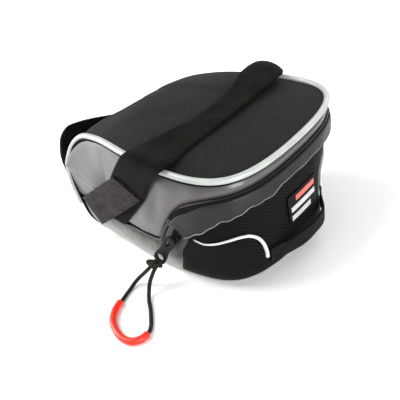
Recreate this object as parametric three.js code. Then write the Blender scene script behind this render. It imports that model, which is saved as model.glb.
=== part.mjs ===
import * as THREE from "three";
import { mergeVertices } from "three/addons/utils/BufferGeometryUtils.js";

// Bicycle saddle bag, in millimetres.
// +X is the rear wall, -Y the side with the slider, +Z is up, and the bag rests on its base at Z = 0.

// Driving sizes of the bag's body
const BAG_LENGTH = 168;
const BAG_WIDTH = 126;
const BAG_HEIGHT = 81;
const FRONT_WIDTH = 74;
const TOP_CROWN = 7;

// Cloth thicknesses and the small gap that neighbouring pieces keep
const PANEL = 1.8;
const FLAP = 1.2;
const GAP = 0.3;
const PIPING_DIAMETER = 4;
const TRIM_DIAMETER = 1.6;
const BASE_THICKNESS = 2;
const BASE_ROOM = 1.5;

// Straps
const STRAP_THICKNESS = 1.6;
const RAIL_STRAP_WIDTH = 20;
const RAIL_STRAP_ARCH = 8;
const POST_STRAP_WIDTH = 25;
const POST_LOOP_DEPTH = 17;
const LIGHT_STRAP_WIDTH = 11;
const LIGHT_STRAP_ARCH = 5.6;

// Zip, slider and pull
const ZIP_WIDTH = 6;
const ZIP_THICKNESS = 0.6;
const ZIP_SLIT = 1.6;
const SLIDER_LENGTH = 10;
const SLIDER_WIDTH = 6.5;
const SLIDER_HEIGHT = 2.6;
const PULLER_LENGTH = 26;
const PULLER_WIDTH = 7.5;
const PULLER_THICKNESS = 1.4;
const CORD_DIAMETER = 2.4;
const SLEEVE_DIAMETER = 4.2;
const KNOT_LENGTH = 9;
const KNOT_DIAMETER = 5.5;

// Sections of the body from the base up. Heights are shares of BAG_HEIGHT, the setbacks of the rear and
// front ends are shares of BAG_LENGTH, wide and corner are shares of half BAG_WIDTH and half FRONT_WIDTH.
const SECTIONS = [
  { height: 0.0, rear: 0.09, front: 0.093, wide: 0.79, corner: 0.9 },
  { height: 0.03, rear: 0.062, front: 0.074, wide: 0.87, corner: 0.97 },
  { height: 0.12, rear: 0.04, front: 0.051, wide: 0.935, corner: 1.03 },
  { height: 0.31, rear: 0.026, front: 0.0125, wide: 0.965, corner: 1.0 },
  { height: 0.5, rear: 0.02, front: 0.0, wide: 0.985, corner: 0.98 },
  { height: 0.75, rear: 0.016, front: 0.018, wide: 0.985, corner: 0.94 },
  { height: 1.0, rear: 0.0226, front: 0.06, wide: 0.973, corner: 0.89 },
];

// Height of the piped top edge, from the rear end (along 0) to the front end (along 1).
// Both columns are shares, of BAG_LENGTH and of BAG_HEIGHT.
const TOP_EDGE = [
  { along: 0.0, height: 0.905, crown: 0.0 },
  { along: 0.22, height: 0.945, crown: 0.8 },
  { along: 0.45, height: 0.99, crown: 1.0 },
  { along: 0.57, height: 1.0, crown: 0.95 },
  { along: 0.69, height: 0.99, crown: 0.75 },
  { along: 0.81, height: 0.95, crown: 0.3 },
  { along: 0.87, height: 0.915, crown: 0.15 },
  { along: 0.925, height: 0.84, crown: 0.12 },
  { along: 0.965, height: 0.73, crown: 0.25 },
  { along: 1.0, height: 0.58, crown: 0.45 },
];

// Lower edge of the coated upper panel: the rear stretch covers the zip, the front one is a seam
const ZIP_LINE = [
  { along: 0.0, height: 0.79 },
  { along: 0.09, height: 0.79 },
  { along: 0.17, height: 0.766 },
  { along: 0.256, height: 0.7 },
  { along: 0.3, height: 0.63 },
  { along: 0.348, height: 0.51 },
  { along: 0.39, height: 0.388 },
  { along: 0.414, height: 0.322 },
  { along: 0.45, height: 0.3 },
  { along: 0.7, height: 0.295 },
  { along: 1.0, height: 0.28 },
];

// Free lower edge of the zip flap, and how far it waves there
const FLAP_EDGE = [
  { along: 0.0, height: 0.685 },
  { along: 0.04, height: 0.685 },
  { along: 0.104, height: 0.645 },
  { along: 0.178, height: 0.56 },
  { along: 0.235, height: 0.49 },
  { along: 0.28, height: 0.44 },
];
const FLAP_END = 0.275;

// Seam between the grey lower side panel and the ribbed rear panel, from the base up
const BAND_END = [
  { height: 0.0, along: 0.385 },
  { height: 0.15, along: 0.34 },
  { height: 0.3, along: 0.31 },
  { height: 0.39, along: 0.276 },
  { height: 0.5, along: 0.255 },
  { height: 0.7, along: 0.245 },
];

// Thin reflective line on the lower side, rearwards from the end of the flap
const TRIM_LINE = [
  { along: 0.234, height: 0.46 },
  { along: 0.219, height: 0.448 },
  { along: 0.195, height: 0.434 },
  { along: 0.157, height: 0.444 },
  { along: 0.123, height: 0.463 },
  { along: 0.083, height: 0.476 },
  { along: 0.069, height: 0.464 },
  { along: 0.058, height: 0.42 },
  { along: 0.0535, height: 0.352 },
  { along: 0.0545, height: 0.27 },
  { along: 0.058, height: 0.2 },
];

// Middle of the rail strap. Across runs from -2 at the base of the near wall over -1 at the near top edge
// and 1 at the far one to 2 at the base of the far wall. Lift is a share of RAIL_STRAP_ARCH.
const RAIL_STRAP = [
  { along: 0.745, across: -1.69, lift: 0 },
  { along: 0.65, across: -1.51, lift: 0 },
  { along: 0.548, across: -1.31, lift: 0 },
  { along: 0.464, across: -1.14, lift: 0.12 },
  { along: 0.432, across: -1.06, lift: 0.34 },
  { along: 0.412, across: -1.0, lift: 0.42 },
  { along: 0.398, across: -0.92, lift: 0.36 },
  { along: 0.372, across: -0.75, lift: 0.08 },
  { along: 0.347, across: -0.5, lift: 0 },
  { along: 0.328, across: -0.2, lift: 0 },
  { along: 0.325, across: 0.1, lift: 0 },
  { along: 0.33, across: 0.4, lift: 0.05 },
  { along: 0.332, across: 0.62, lift: 0.35 },
  { along: 0.335, across: 0.8, lift: 0.8 },
  { along: 0.338, across: 0.96, lift: 1 },
  { along: 0.34, across: 1.06, lift: 0.75 },
  { along: 0.342, across: 1.18, lift: 0.3 },
  { along: 0.345, across: 1.33, lift: 0.05 },
  { along: 0.35, across: 1.5, lift: 0 },
  { along: 0.355, across: 1.69, lift: 0 },
];

// Middle of the grey tab of the seat post strap, from its tip on the near wall to the front corner
const POST_TAB = [
  { along: 0.505, across: -1.29, lift: 0 },
  { along: 0.6, across: -1.4, lift: 0 },
  { along: 0.7, across: -1.52, lift: 0 },
  { along: 0.79, across: -1.63, lift: 0 },
  { along: 0.87, across: -1.72, lift: 0 },
  { along: 0.93, across: -1.78, lift: 0 },
];
const POST_TAB_LIFT = 1;

// Middle of the seat post loop round the front. Across is a share of half FRONT_WIDTH, -1 near to 1 far,
// ahead a share of POST_LOOP_DEPTH from the front corner line, height a share of BAG_HEIGHT.
const POST_LOOP = [
  { across: -0.78, ahead: 0.22, height: 0.46 },
  { across: -0.64, ahead: 0.5, height: 0.5 },
  { across: -0.4, ahead: 0.9, height: 0.55 },
  { across: 0, ahead: 1.0, height: 0.58 },
  { across: 0.45, ahead: 0.92, height: 0.57 },
  { across: 0.85, ahead: 0.62, height: 0.55 },
  { across: 1.16, ahead: 0.2, height: 0.53 },
];
const POST_STRAP_FAR = [
  { along: 0.955, across: 1.34, lift: 3.2 },
  { along: 0.9, across: 1.39, lift: 0.8 },
  { along: 0.82, across: 1.43, lift: 0 },
];

// Middle of the light strap across the rear wall, as shares of the outline, BAG_HEIGHT and LIGHT_STRAP_ARCH
const LIGHT_STRAP = [
  { around: 0.117, height: 0.206, lift: 0 },
  { around: 0.1, height: 0.207, lift: 0.05 },
  { around: 0.07, height: 0.21, lift: 0.5 },
  { around: 0.035, height: 0.215, lift: 0.95 },
  { around: 0, height: 0.215, lift: 1 },
];

// Run of the zip on the near side, up to where the flap covers it
const ZIP_RUN = [
  { along: 0.385, height: 0.29 },
  { along: 0.355, height: 0.35 },
  { along: 0.33, height: 0.4 },
  { along: 0.305, height: 0.46 },
  { along: 0.28, height: 0.535 },
];
const SLIDER_PLACE = 0.55;

// Puller and knot, as shares of BAG_LENGTH from the rear and of BAG_HEIGHT. Away is their distance in
// millimetres from the middle plane of the bag.
const PULLER_TOP = { along: 0.311, height: 0.455 };
const PULLER_TIP = { along: 0.417, height: 0.178 };
const KNOT = { along: 0.405, height: 0.2, away: 70.5 };

// Route of the pull cord in millimetres, from the knot out and back to it, through the sleeve
const CORD_LEG_OUT = [
  [12.4, -72.2, 14.2],
  [7, -73, 9],
  [2.7, -74.2, 5],
  [0.6, -77, 2.4],
  [0.9, -82, 1.25],
  [2, -87, 1.25],
  [3.7, -93, 1.25],
];
const CORD_SLEEVE = [
  [3.9, -93.6, 2.15],
  [6.4, -101, 2.15],
  [11.3, -108, 2.15],
  [18.9, -113.4, 2.15],
  [27.2, -116.5, 2.15],
  [33.6, -116, 2.15],
  [37.1, -112.3, 2.15],
  [37.9, -107.3, 2.15],
];
const CORD_LEG_BACK = [
  [37.2, -105.4, 1.25],
  [34.6, -101.4, 1.25],
  [30.5, -96.5, 1.25],
  [25.1, -90.7, 1.25],
  [19.2, -85.2, 1.4],
  [16, -80.8, 3.6],
  [15.3, -77.5, 8],
  [16.1, -72.8, 13.3],
];

// Reflective patch on the rear wall, as shares of BAG_HEIGHT, and of the outline from its middle
const PATCH = { low: 0.32, high: 0.55, from: 0.05, to: -0.025 };
const PATCH_THICKNESS = 0.6;

// Shares that shape the plan outline, a curve from the rear centre to the widest place and on to the front
const OUTLINE = { widest: 0.24, rearPull: 0.83, turnPull: 0.72, sidePull: 0.42, frontPull: 0.3, flare: 0.1 };
const REAR_STRETCH = 0.36;

// Smooth value of a table's column at a place, through its rows
function smooth(table, key, column, at) {
  const last = table.length - 1;
  const place = THREE.MathUtils.clamp(at, table[0][key], table[last][key]);
  let k = 0;
  while (k < last - 1 && place > table[k + 1][key]) k += 1;
  const slope = (i) => {
    const low = Math.max(i - 1, 0);
    const high = Math.min(i + 1, last);
    return (table[high][column] - table[low][column]) / (table[high][key] - table[low][key]);
  };
  const span = table[k + 1][key] - table[k][key];
  const t = (place - table[k][key]) / span;
  const h00 = 2 * t ** 3 - 3 * t ** 2 + 1;
  const h10 = t ** 3 - 2 * t ** 2 + t;
  const h01 = 3 * t ** 2 - 2 * t ** 3;
  const h11 = t ** 3 - t ** 2;
  const ends = h00 * table[k][column] + h01 * table[k + 1][column];
  return ends + span * (h10 * slope(k) + h11 * slope(k + 1));
}

// Plan outline of the body at a height: round 0 is the rear centre, 1 the front corner
function outline(round, z) {
  const level = z / BAG_HEIGHT;
  const rear = BAG_LENGTH * (0.5 - smooth(SECTIONS, "height", "rear", level));
  const front = BAG_LENGTH * (smooth(SECTIONS, "height", "front", level) - 0.5);
  const wide = (BAG_WIDTH / 2) * smooth(SECTIONS, "height", "wide", level);
  const corner = (FRONT_WIDTH / 2) * smooth(SECTIONS, "height", "corner", level);
  const turn = OUTLINE.widest * BAG_LENGTH;
  const widest = rear - turn;
  const run = widest - front;
  const point = (x, y) => new THREE.Vector2(x, y);
  if (round < REAR_STRETCH) {
    const bend = new THREE.CubicBezierCurve(
      point(rear, 0),
      point(rear, OUTLINE.rearPull * wide),
      point(widest + OUTLINE.turnPull * turn, wide),
      point(widest, wide),
    );
    return bend.getPoint(round / REAR_STRETCH);
  }
  const side = new THREE.CubicBezierCurve(
    point(widest, wide),
    point(widest - OUTLINE.sidePull * run, wide),
    point(front + OUTLINE.frontPull * run, corner + OUTLINE.flare * OUTLINE.frontPull * run),
    point(front, corner),
  );
  return side.getPoint((round - REAR_STRETCH) / (1 - REAR_STRETCH));
}

// Height of the piped edge above a place of the outline
function edgeHeight(round) {
  const x = outline(round, 0.6 * BAG_HEIGHT).x;
  return BAG_HEIGHT * smooth(TOP_EDGE, "along", "height", 0.5 - x / BAG_LENGTH);
}

// Point of the body's wall. Around runs from -1 at the far front corner over 0 at the rear to 1 at the
// near front corner.
function wall(around, z) {
  const plan = outline(Math.abs(around), z);
  return new THREE.Vector3(plan.x, -Math.sign(around) * plan.y, z);
}

// Closed slab of cloth under a surface that is given over the unit square
function slab(rows, columns, surface, thickness) {
  const STEP = 0.01;
  const middle = new THREE.Vector3(0, 0, BAG_HEIGHT / 2);
  const normalAt = (u, v) => {
    const cu = THREE.MathUtils.clamp(u, STEP, 1 - STEP);
    const cv = THREE.MathUtils.clamp(v, STEP, 1 - STEP);
    const along = surface(cu + STEP, cv).sub(surface(cu - STEP, cv));
    const across = surface(cu, cv + STEP).sub(surface(cu, cv - STEP));
    return along.cross(across).normalize();
  };
  const inwards = normalAt(0.5, 0.5).dot(surface(0.5, 0.5).sub(middle)) < 0 ? 1 : -1;
  const positions = [];
  for (const depth of [0, thickness]) {
    for (let i = 0; i <= rows; i += 1) {
      for (let j = 0; j <= columns; j += 1) {
        const u = i / rows;
        const v = j / columns;
        const point = surface(u, v).addScaledVector(normalAt(u, v), inwards * depth);
        positions.push(point.x, point.y, point.z);
      }
    }
  }
  const at = (layer, i, j) => (layer * (rows + 1) + i) * (columns + 1) + j;
  const index = [];
  const quad = (a, b, c, d) => {
    if (inwards < 0) index.push(a, b, c, a, c, d);
    else index.push(a, c, b, a, d, c);
  };
  for (let i = 0; i < rows; i += 1) {
    for (let j = 0; j < columns; j += 1) {
      quad(at(0, i, j), at(0, i + 1, j), at(0, i + 1, j + 1), at(0, i, j + 1));
      quad(at(1, i, j), at(1, i, j + 1), at(1, i + 1, j + 1), at(1, i + 1, j));
    }
    quad(at(0, i, 0), at(1, i, 0), at(1, i + 1, 0), at(0, i + 1, 0));
    quad(at(0, i, columns), at(0, i + 1, columns), at(1, i + 1, columns), at(1, i, columns));
  }
  for (let j = 0; j < columns; j += 1) {
    quad(at(0, 0, j), at(0, 0, j + 1), at(1, 0, j + 1), at(1, 0, j));
    quad(at(0, rows, j), at(1, rows, j), at(1, rows, j + 1), at(0, rows, j + 1));
  }
  return welded(positions, index);
}

// Geometry with shared corners and without triangles that have shrunk to a line
function welded(positions, index) {
  const raw = new THREE.BufferGeometry();
  raw.setAttribute("position", new THREE.Float32BufferAttribute(positions, 3));
  if (index) raw.setIndex(index);
  const merged = mergeVertices(raw, 1e-3);
  const kept = [];
  const old = merged.index.array;
  for (let i = 0; i < old.length; i += 3) {
    const [a, b, c] = [old[i], old[i + 1], old[i + 2]];
    if (a !== b && b !== c && c !== a) kept.push(a, b, c);
  }
  merged.setIndex(kept);
  merged.computeVertexNormals();
  return merged;
}

const bag = new THREE.Group();

function piece(name, geometry, color, roughness, metalness = 0) {
  const mesh = new THREE.Mesh(geometry, new THREE.MeshStandardMaterial({ color, roughness, metalness }));
  mesh.name = name;
  bag.add(mesh);
  return mesh;
}

const mix = THREE.MathUtils.lerp;

const PIPING_ROOM = PIPING_DIAMETER / 2 + 3.5 * GAP;
const heightOf = (table, along) => BAG_HEIGHT * smooth(table, "along", "height", along);
const alongOf = (x) => 0.5 - x / BAG_LENGTH;

// Place on the outline, from 0 at the rear to 1 at the front corner, that lies at a share of the length
function roundAt(along, z) {
  const x = BAG_LENGTH * (0.5 - along);
  let low = 0;
  let high = 1;
  for (let k = 0; k < 24; k += 1) {
    const middle = (low + high) / 2;
    if (outline(middle, z).x > x) low = middle;
    else high = middle;
  }
  return (low + high) / 2;
}

// Edge line of the top, from the rear end along the side to the front corner, then down the front edge
const EDGE_SHARE = 0.8;
function edgeLine(share) {
  if (share <= EDGE_SHARE) {
    const round = share / EDGE_SHARE;
    return wall(round, edgeHeight(round));
  }
  const down = (share - EDGE_SHARE) / (1 - EDGE_SHARE);
  return wall(1, mix(edgeHeight(1), 0, down));
}

// Crowned top and bowed front between the two edge lines. Across runs from -1 near to 1 far.
function cover(share, across, inset) {
  const edge = edgeLine(share);
  const run = edgeLine(Math.min(share + 0.01, 1)).sub(edgeLine(Math.max(share - 0.01, 0)));
  const out = new THREE.Vector3(run.z, 0, -run.x).normalize();
  const along = share > EDGE_SHARE ? 1 : alongOf(edge.x);
  const rise = TOP_CROWN * smooth(TOP_EDGE, "along", "crown", along) * (1 - across * across);
  const plan = new THREE.Vector2(run.x, run.y);
  const turn = share > EDGE_SHARE ? new THREE.Vector2(0, 1) : new THREE.Vector2(run.y, -run.x);
  if (plan.length() > 0) turn.normalize();
  const y = Math.max(-edge.y - inset * Math.abs(turn.y), 0);
  return new THREE.Vector3(edge.x - inset * Math.abs(turn.x), y * across, edge.z).addScaledVector(out, rise);
}

// Height of the zip line and the seam that carries it on, above a place of the outline
function zipHeight(round) {
  return heightOf(ZIP_LINE, alongOf(outline(round, BAG_HEIGHT / 2).x));
}

// Point of the wall below the zip line, between two limits that lean with the height
function belowZip(share, rise, from, to) {
  let around = mix(from(0), to(0), share);
  let z = 0;
  for (let k = 0; k < 8; k += 1) {
    z = rise * (zipHeight(Math.abs(around)) - ZIP_SLIT / 2);
    around = mix(from(z), to(z), share);
  }
  return wall(around, z);
}

const FRONT_END = 0.982;
const bandEnd = (z) => roundAt(smooth(BAND_END, "height", "along", z / BAG_HEIGHT), z);
const SEAM_ROOM = 0.004;

// Point that stands off the wall by a distance
function offWall(around, z, distance) {
  const STEP = 0.01;
  const run = wall(around + STEP, z).sub(wall(around - STEP, z));
  const rise = wall(around, z + STEP).sub(wall(around, z - STEP));
  return wall(around, z).addScaledVector(run.cross(rise).normalize(), -distance);
}

// Panels of the body
const TOP_SPAN = { from: 0.02, to: 0.985 };
function topPanel() {
  const surface = (u, v) => cover(mix(TOP_SPAN.from, TOP_SPAN.to, u), mix(-1, 1, v), PIPING_ROOM);
  return slab(38, 8, surface, PANEL);
}

function upperPanel() {
  const STEP = 0.005;
  const surface = (u, v) => {
    const around = mix(FRONT_END, -FRONT_END, u);
    const round = Math.abs(around);
    const ahead = wall(round + STEP, edgeHeight(round + STEP));
    const behind = wall(round - STEP, edgeHeight(round - STEP));
    const run = ahead.sub(behind);
    const room = (PIPING_ROOM * run.length()) / Math.hypot(run.x, run.y);
    return wall(around, mix(zipHeight(round) + ZIP_SLIT / 2, edgeHeight(round) - room, v));
  };
  return slab(56, 4, surface, PANEL);
}

function lowerSidePanel(side) {
  const start = () => side * FRONT_END;
  const end = (z) => side * (bandEnd(z) + SEAM_ROOM);
  return slab(20, 4, (u, v) => belowZip(u, v, start, end), PANEL);
}

function rearPanel() {
  const near = (z) => bandEnd(z) - SEAM_ROOM;
  const far = (z) => SEAM_ROOM - bandEnd(z);
  return slab(34, 5, (u, v) => belowZip(u, v, near, far), PANEL);
}

function zipFlap() {
  const stand = GAP + ZIP_THICKNESS + GAP + FLAP;
  const ends = roundAt(FLAP_END, BAG_HEIGHT / 2);
  const surface = (u, v) => {
    const around = mix(ends, -ends, u);
    const round = Math.abs(around);
    const low = heightOf(FLAP_EDGE, alongOf(outline(round, BAG_HEIGHT / 2).x));
    return offWall(around, mix(low, zipHeight(round) - GAP, v), stand);
  };
  return slab(44, 2, surface, FLAP);
}

const BASE_SPAN = { from: 0.05, to: 0.98 };
function basePanel() {
  const surface = (u, v) => {
    const plan = outline(mix(BASE_SPAN.from, BASE_SPAN.to, u), 0);
    return new THREE.Vector3(plan.x - BASE_ROOM * (1 - 2 * u), mix(-1, 1, v) * (plan.y - BASE_ROOM), 0);
  };
  return slab(18, 2, surface, BASE_THICKNESS);
}

// Tube with eight sides along a smooth path
function tube(points, diameter, steps) {
  const section = new THREE.Shape();
  const SIDES = 8;
  for (let k = 0; k < SIDES; k += 1) {
    const angle = (2 * Math.PI * k) / SIDES;
    const [x, y] = [(diameter / 2) * Math.cos(angle), (diameter / 2) * Math.sin(angle)];
    if (k === 0) section.moveTo(x, y);
    else section.lineTo(x, y);
  }
  section.closePath();
  const path = new THREE.CatmullRomCurve3(points);
  const raw = new THREE.ExtrudeGeometry(section, { steps, extrudePath: path });
  return welded(Array.from(raw.attributes.position.array), null);
}

// Piping round the top edge and down both front edges, to where the front straps cover it
const PIPING_END = 0.62;
function piping() {
  const points = [];
  const COUNT = 48;
  for (let k = -COUNT; k <= COUNT; k += 1) {
    const share = Math.abs(k) / COUNT;
    const end = EDGE_SHARE + (1 - EDGE_SHARE) * PIPING_END;
    const edge = edgeLine(share * end);
    points.push(new THREE.Vector3(edge.x, k < 0 ? -edge.y : edge.y, edge.z));
  }
  return tube(points, PIPING_DIAMETER, 76);
}

function trim(side) {
  const points = TRIM_LINE.map((row) => {
    const z = row.height * BAG_HEIGHT;
    return offWall(side * roundAt(row.along, z), z, TRIM_DIAMETER / 2 + GAP);
  });
  return tube(points, TRIM_DIAMETER, 20);
}

// Point of the body and its outward direction, at a share of the length and a place across it
function bodyPoint(along, across) {
  if (Math.abs(across) <= 1) {
    const x = BAG_LENGTH * (0.5 - along);
    let low = 0;
    let high = EDGE_SHARE;
    for (let k = 0; k < 24; k += 1) {
      const middle = (low + high) / 2;
      if (edgeLine(middle).x > x) low = middle;
      else high = middle;
    }
    return cover(low, across, 0);
  }
  const side = across < 0 ? 1 : -1;
  const share = 2 - Math.abs(across);
  const edge = edgeHeight(roundAt(along, BAG_HEIGHT * 0.9));
  const z = share * edge;
  return wall(side * roundAt(along, z), z);
}

// Flat band along a smooth middle line. Each station gives its point, its outward direction and its lift.
function band(stations, width, thickness, rows) {
  const middle = new THREE.CatmullRomCurve3(stations.map((s) => s.point));
  const facing = new THREE.CatmullRomCurve3(stations.map((s) => s.out));
  const surface = (u, v) => {
    const out = facing.getPoint(u).normalize();
    const run = middle.getPoint(Math.min(u + 0.002, 1)).sub(middle.getPoint(Math.max(u - 0.002, 0)));
    const side = run.cross(out).normalize();
    return middle.getPoint(u).addScaledVector(side, (v - 0.5) * width);
  };
  return slab(rows, 3, surface, thickness);
}

// Stations of a strap on the body, from a table of places
function strapStations(table, lift, arch) {
  const centre = new THREE.Vector3(0, 0, BAG_HEIGHT * 0.4);
  const STEP = 0.01;
  return table.map((row) => {
    const point = bodyPoint(row.along, row.across);
    const run = bodyPoint(row.along + STEP, row.across).sub(bodyPoint(row.along - STEP, row.across));
    const rise = bodyPoint(row.along, row.across + STEP).sub(bodyPoint(row.along, row.across - STEP));
    const out = run.cross(rise).normalize();
    if (out.dot(point.clone().sub(centre)) < 0) out.negate();
    return { point: point.addScaledVector(out, lift + row.lift * arch), out };
  });
}

const railStrap = () => {
  const lift = 2 * GAP + STRAP_THICKNESS;
  return band(strapStations(RAIL_STRAP, lift, RAIL_STRAP_ARCH), RAIL_STRAP_WIDTH, STRAP_THICKNESS, 40);
};

function postLoop() {
  const lift = 1.5 * GAP + STRAP_THICKNESS;
  const loop = POST_LOOP.map((row) => {
    const z = row.height * BAG_HEIGHT;
    const front = wall(1, z).x;
    const y = (row.across * FRONT_WIDTH) / 2;
    const point = new THREE.Vector3(front - row.ahead * POST_LOOP_DEPTH, y, z);
    const out = new THREE.Vector3(front * 0.35, 0, z).sub(point).normalize().negate();
    return { point, out };
  });
  const stations = [...loop, ...strapStations(POST_STRAP_FAR, lift, POST_TAB_LIFT)];
  return band(stations, POST_STRAP_WIDTH, STRAP_THICKNESS, 30);
}

// The tab lies on the rail strap
function postTab() {
  const lift = 2 * (GAP + STRAP_THICKNESS) + 3 * GAP;
  return band(strapStations(POST_TAB, lift, POST_TAB_LIFT), POST_STRAP_WIDTH, STRAP_THICKNESS, 18);
}

function lightStrap() {
  const mirrored = LIGHT_STRAP.slice(0, -1).reverse().map((row) => ({ ...row, around: -row.around }));
  const rows = [...LIGHT_STRAP, ...mirrored];
  const stations = rows.map((row) => {
    const z = row.height * BAG_HEIGHT;
    const on = wall(row.around, z);
    const lift = 2 * GAP + STRAP_THICKNESS + row.lift * LIGHT_STRAP_ARCH;
    const point = offWall(row.around, z, lift);
    return { point, out: point.clone().sub(on).normalize() };
  });
  return band(stations, LIGHT_STRAP_WIDTH, STRAP_THICKNESS, 20);
}

function patch() {
  const surface = (u, v) => {
    const around = mix(PATCH.from, PATCH.to, u);
    return offWall(around, BAG_HEIGHT * mix(PATCH.low, PATCH.high, v), GAP + PATCH_THICKNESS);
  };
  return slab(4, 3, surface, PATCH_THICKNESS);
}

// Places along the zip's run, on the wall
const zipStations = ZIP_RUN.map((row) => {
  const z = row.height * BAG_HEIGHT;
  const around = roundAt(row.along, z);
  const point = offWall(around, z, GAP + ZIP_THICKNESS);
  return { point, out: point.clone().sub(wall(around, z)).normalize() };
});

// Slider body: a rounded plate that stands on the zip and points along it
function slider() {
  const path = new THREE.CatmullRomCurve3(zipStations.map((s) => s.point));
  const out = zipStations[2].out.clone();
  const run = path.getTangent(SLIDER_PLACE);
  const side = run.clone().cross(out).normalize();
  const place = path.getPoint(SLIDER_PLACE).addScaledVector(out, GAP);
  const shape = roundedPlate(SLIDER_LENGTH, SLIDER_WIDTH, SLIDER_WIDTH * 0.35);
  const settings = { depth: SLIDER_HEIGHT, bevelEnabled: false, curveSegments: 4 };
  const body = new THREE.ExtrudeGeometry(shape, settings);
  const flatRun = run.clone().addScaledVector(out, -run.dot(out)).normalize();
  const basis = new THREE.Matrix4().makeBasis(flatRun, side.negate(), out);
  body.applyMatrix4(basis.setPosition(place));
  return welded(Array.from(body.attributes.position.array), null);
}

// Outline of a plate with rounded corners, its middle at the origin and its length along X
function roundedPlate(length, width, radius) {
  const shape = new THREE.Shape();
  const [x, y] = [length / 2, width / 2];
  shape.moveTo(-x + radius, -y);
  shape.lineTo(x - radius, -y);
  shape.absarc(x - radius, -y + radius, radius, -Math.PI / 2, 0, false);
  shape.absarc(x - radius, y - radius, radius, 0, Math.PI / 2, false);
  shape.absarc(-x + radius, y - radius, radius, Math.PI / 2, Math.PI, false);
  shape.absarc(-x + radius, -y + radius, radius, Math.PI, 1.5 * Math.PI, false);
  return shape;
}

// Flat puller with an oval hole near the slider and a wider one at its tip
function puller() {
  const shape = roundedPlate(PULLER_LENGTH, PULLER_WIDTH, PULLER_WIDTH * 0.3);
  const holes = [
    { at: -0.27, length: 0.27, width: 0.42 },
    { at: 0.32, length: 0.2, width: 0.6 },
  ];
  for (const row of holes) {
    const hole = new THREE.Path();
    const [rx, ry] = [(row.length * PULLER_LENGTH) / 2, (row.width * PULLER_WIDTH) / 2];
    hole.absellipse(row.at * PULLER_LENGTH, 0, rx, ry, 0, 2 * Math.PI, true);
    shape.holes.push(hole);
  }
  const settings = { depth: PULLER_THICKNESS, bevelEnabled: false, curveSegments: 6 };
  const plate = new THREE.ExtrudeGeometry(shape, settings);
  const place = (row) => new THREE.Vector3(BAG_LENGTH * (0.5 - row.along), 0, BAG_HEIGHT * row.height);
  const top = place(PULLER_TOP);
  const run = place(PULLER_TIP).sub(top).normalize();
  const out = new THREE.Vector3(0, -1, 0);
  const side = out.clone().cross(run);
  const away = pullerPlane();
  const centre = top.clone().addScaledVector(run, PULLER_LENGTH / 2).setY(-away);
  plate.applyMatrix4(new THREE.Matrix4().makeBasis(run, side, out).setPosition(centre));
  return welded(Array.from(plate.attributes.position.array), null);
}

// Distance of the puller's inner face from the middle plane: it lies on the slider
function pullerPlane() {
  const slide = slider();
  slide.computeBoundingBox();
  return -slide.boundingBox.min.y + GAP;
}

function knot() {
  const ball = new THREE.SphereGeometry(KNOT_DIAMETER / 2, 12, 8);
  ball.scale(KNOT_LENGTH / KNOT_DIAMETER, 1, 1);
  ball.rotateY(0.3);
  ball.translate(BAG_LENGTH * (0.5 - KNOT.along), -KNOT.away, BAG_HEIGHT * KNOT.height);
  ball.deleteAttribute("normal");
  ball.deleteAttribute("uv");
  return welded(Array.from(ball.attributes.position.array), Array.from(ball.index.array));
}

const route = (rows) => rows.map(([x, y, z]) => new THREE.Vector3(x, y, z));

piece("top_panel", topPanel(), "#202020", 0.8);
piece("upper_panel", upperPanel(), "#a8a4a8", 0.35);
piece("lower_side_panel_near", lowerSidePanel(1), "#a8a4a8", 0.35);
piece("lower_side_panel_far", lowerSidePanel(-1), "#a8a4a8", 0.35);
piece("rear_panel", rearPanel(), "#1c1c1d", 0.8);
piece("base_panel", basePanel(), "#1c1c1d", 0.8);
piece("zip_flap", zipFlap(), "#4a484a", 0.45);
piece("edge_piping", piping(), "#e8ebe6", 0.4);
piece("trim_near", trim(1), "#e8ebe6", 0.4);
piece("trim_far", trim(-1), "#e8ebe6", 0.4);
piece("rail_strap", railStrap(), "#161616", 0.95);
piece("post_loop", postLoop(), "#161616", 0.9);
piece("post_tab", postTab(), "#3c3834", 0.9);
piece("light_strap", lightStrap(), "#161616", 0.9);
piece("rear_patch", patch(), "#dcdcd8", 0.4);
piece("zip_tape", band(zipStations, ZIP_WIDTH, ZIP_THICKNESS, 10), "#101010", 0.8);
piece("zip_slider", slider(), "#0c0c0c", 0.4, 0.6);
piece("zip_puller", puller(), "#121212", 0.5);
piece("pull_knot", knot(), "#2d2b23", 0.9);
piece("pull_cord_out", tube(route(CORD_LEG_OUT), CORD_DIAMETER, 14), "#2d2b23", 0.9);
piece("pull_cord_back", tube(route(CORD_LEG_BACK), CORD_DIAMETER, 20), "#2d2b23", 0.9);
piece("pull_sleeve", tube(route(CORD_SLEEVE), SLEEVE_DIAMETER, 22), "#f05041", 0.45);

// The origin lies under the middle of everything but the pull cord and what hangs on it
const ON_CORD = ["pull_knot", "pull_cord_out", "pull_cord_back", "pull_sleeve"];
const box = new THREE.Box3();
for (const mesh of bag.children) if (!ON_CORD.includes(mesh.name)) box.expandByObject(mesh);
bag.position.set(-(box.min.x + box.max.x) / 2, -(box.min.y + box.max.y) / 2, -box.min.z);

export default bag;
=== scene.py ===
import math

import bpy
import numpy as np
from mathutils import Matrix, Vector


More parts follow.
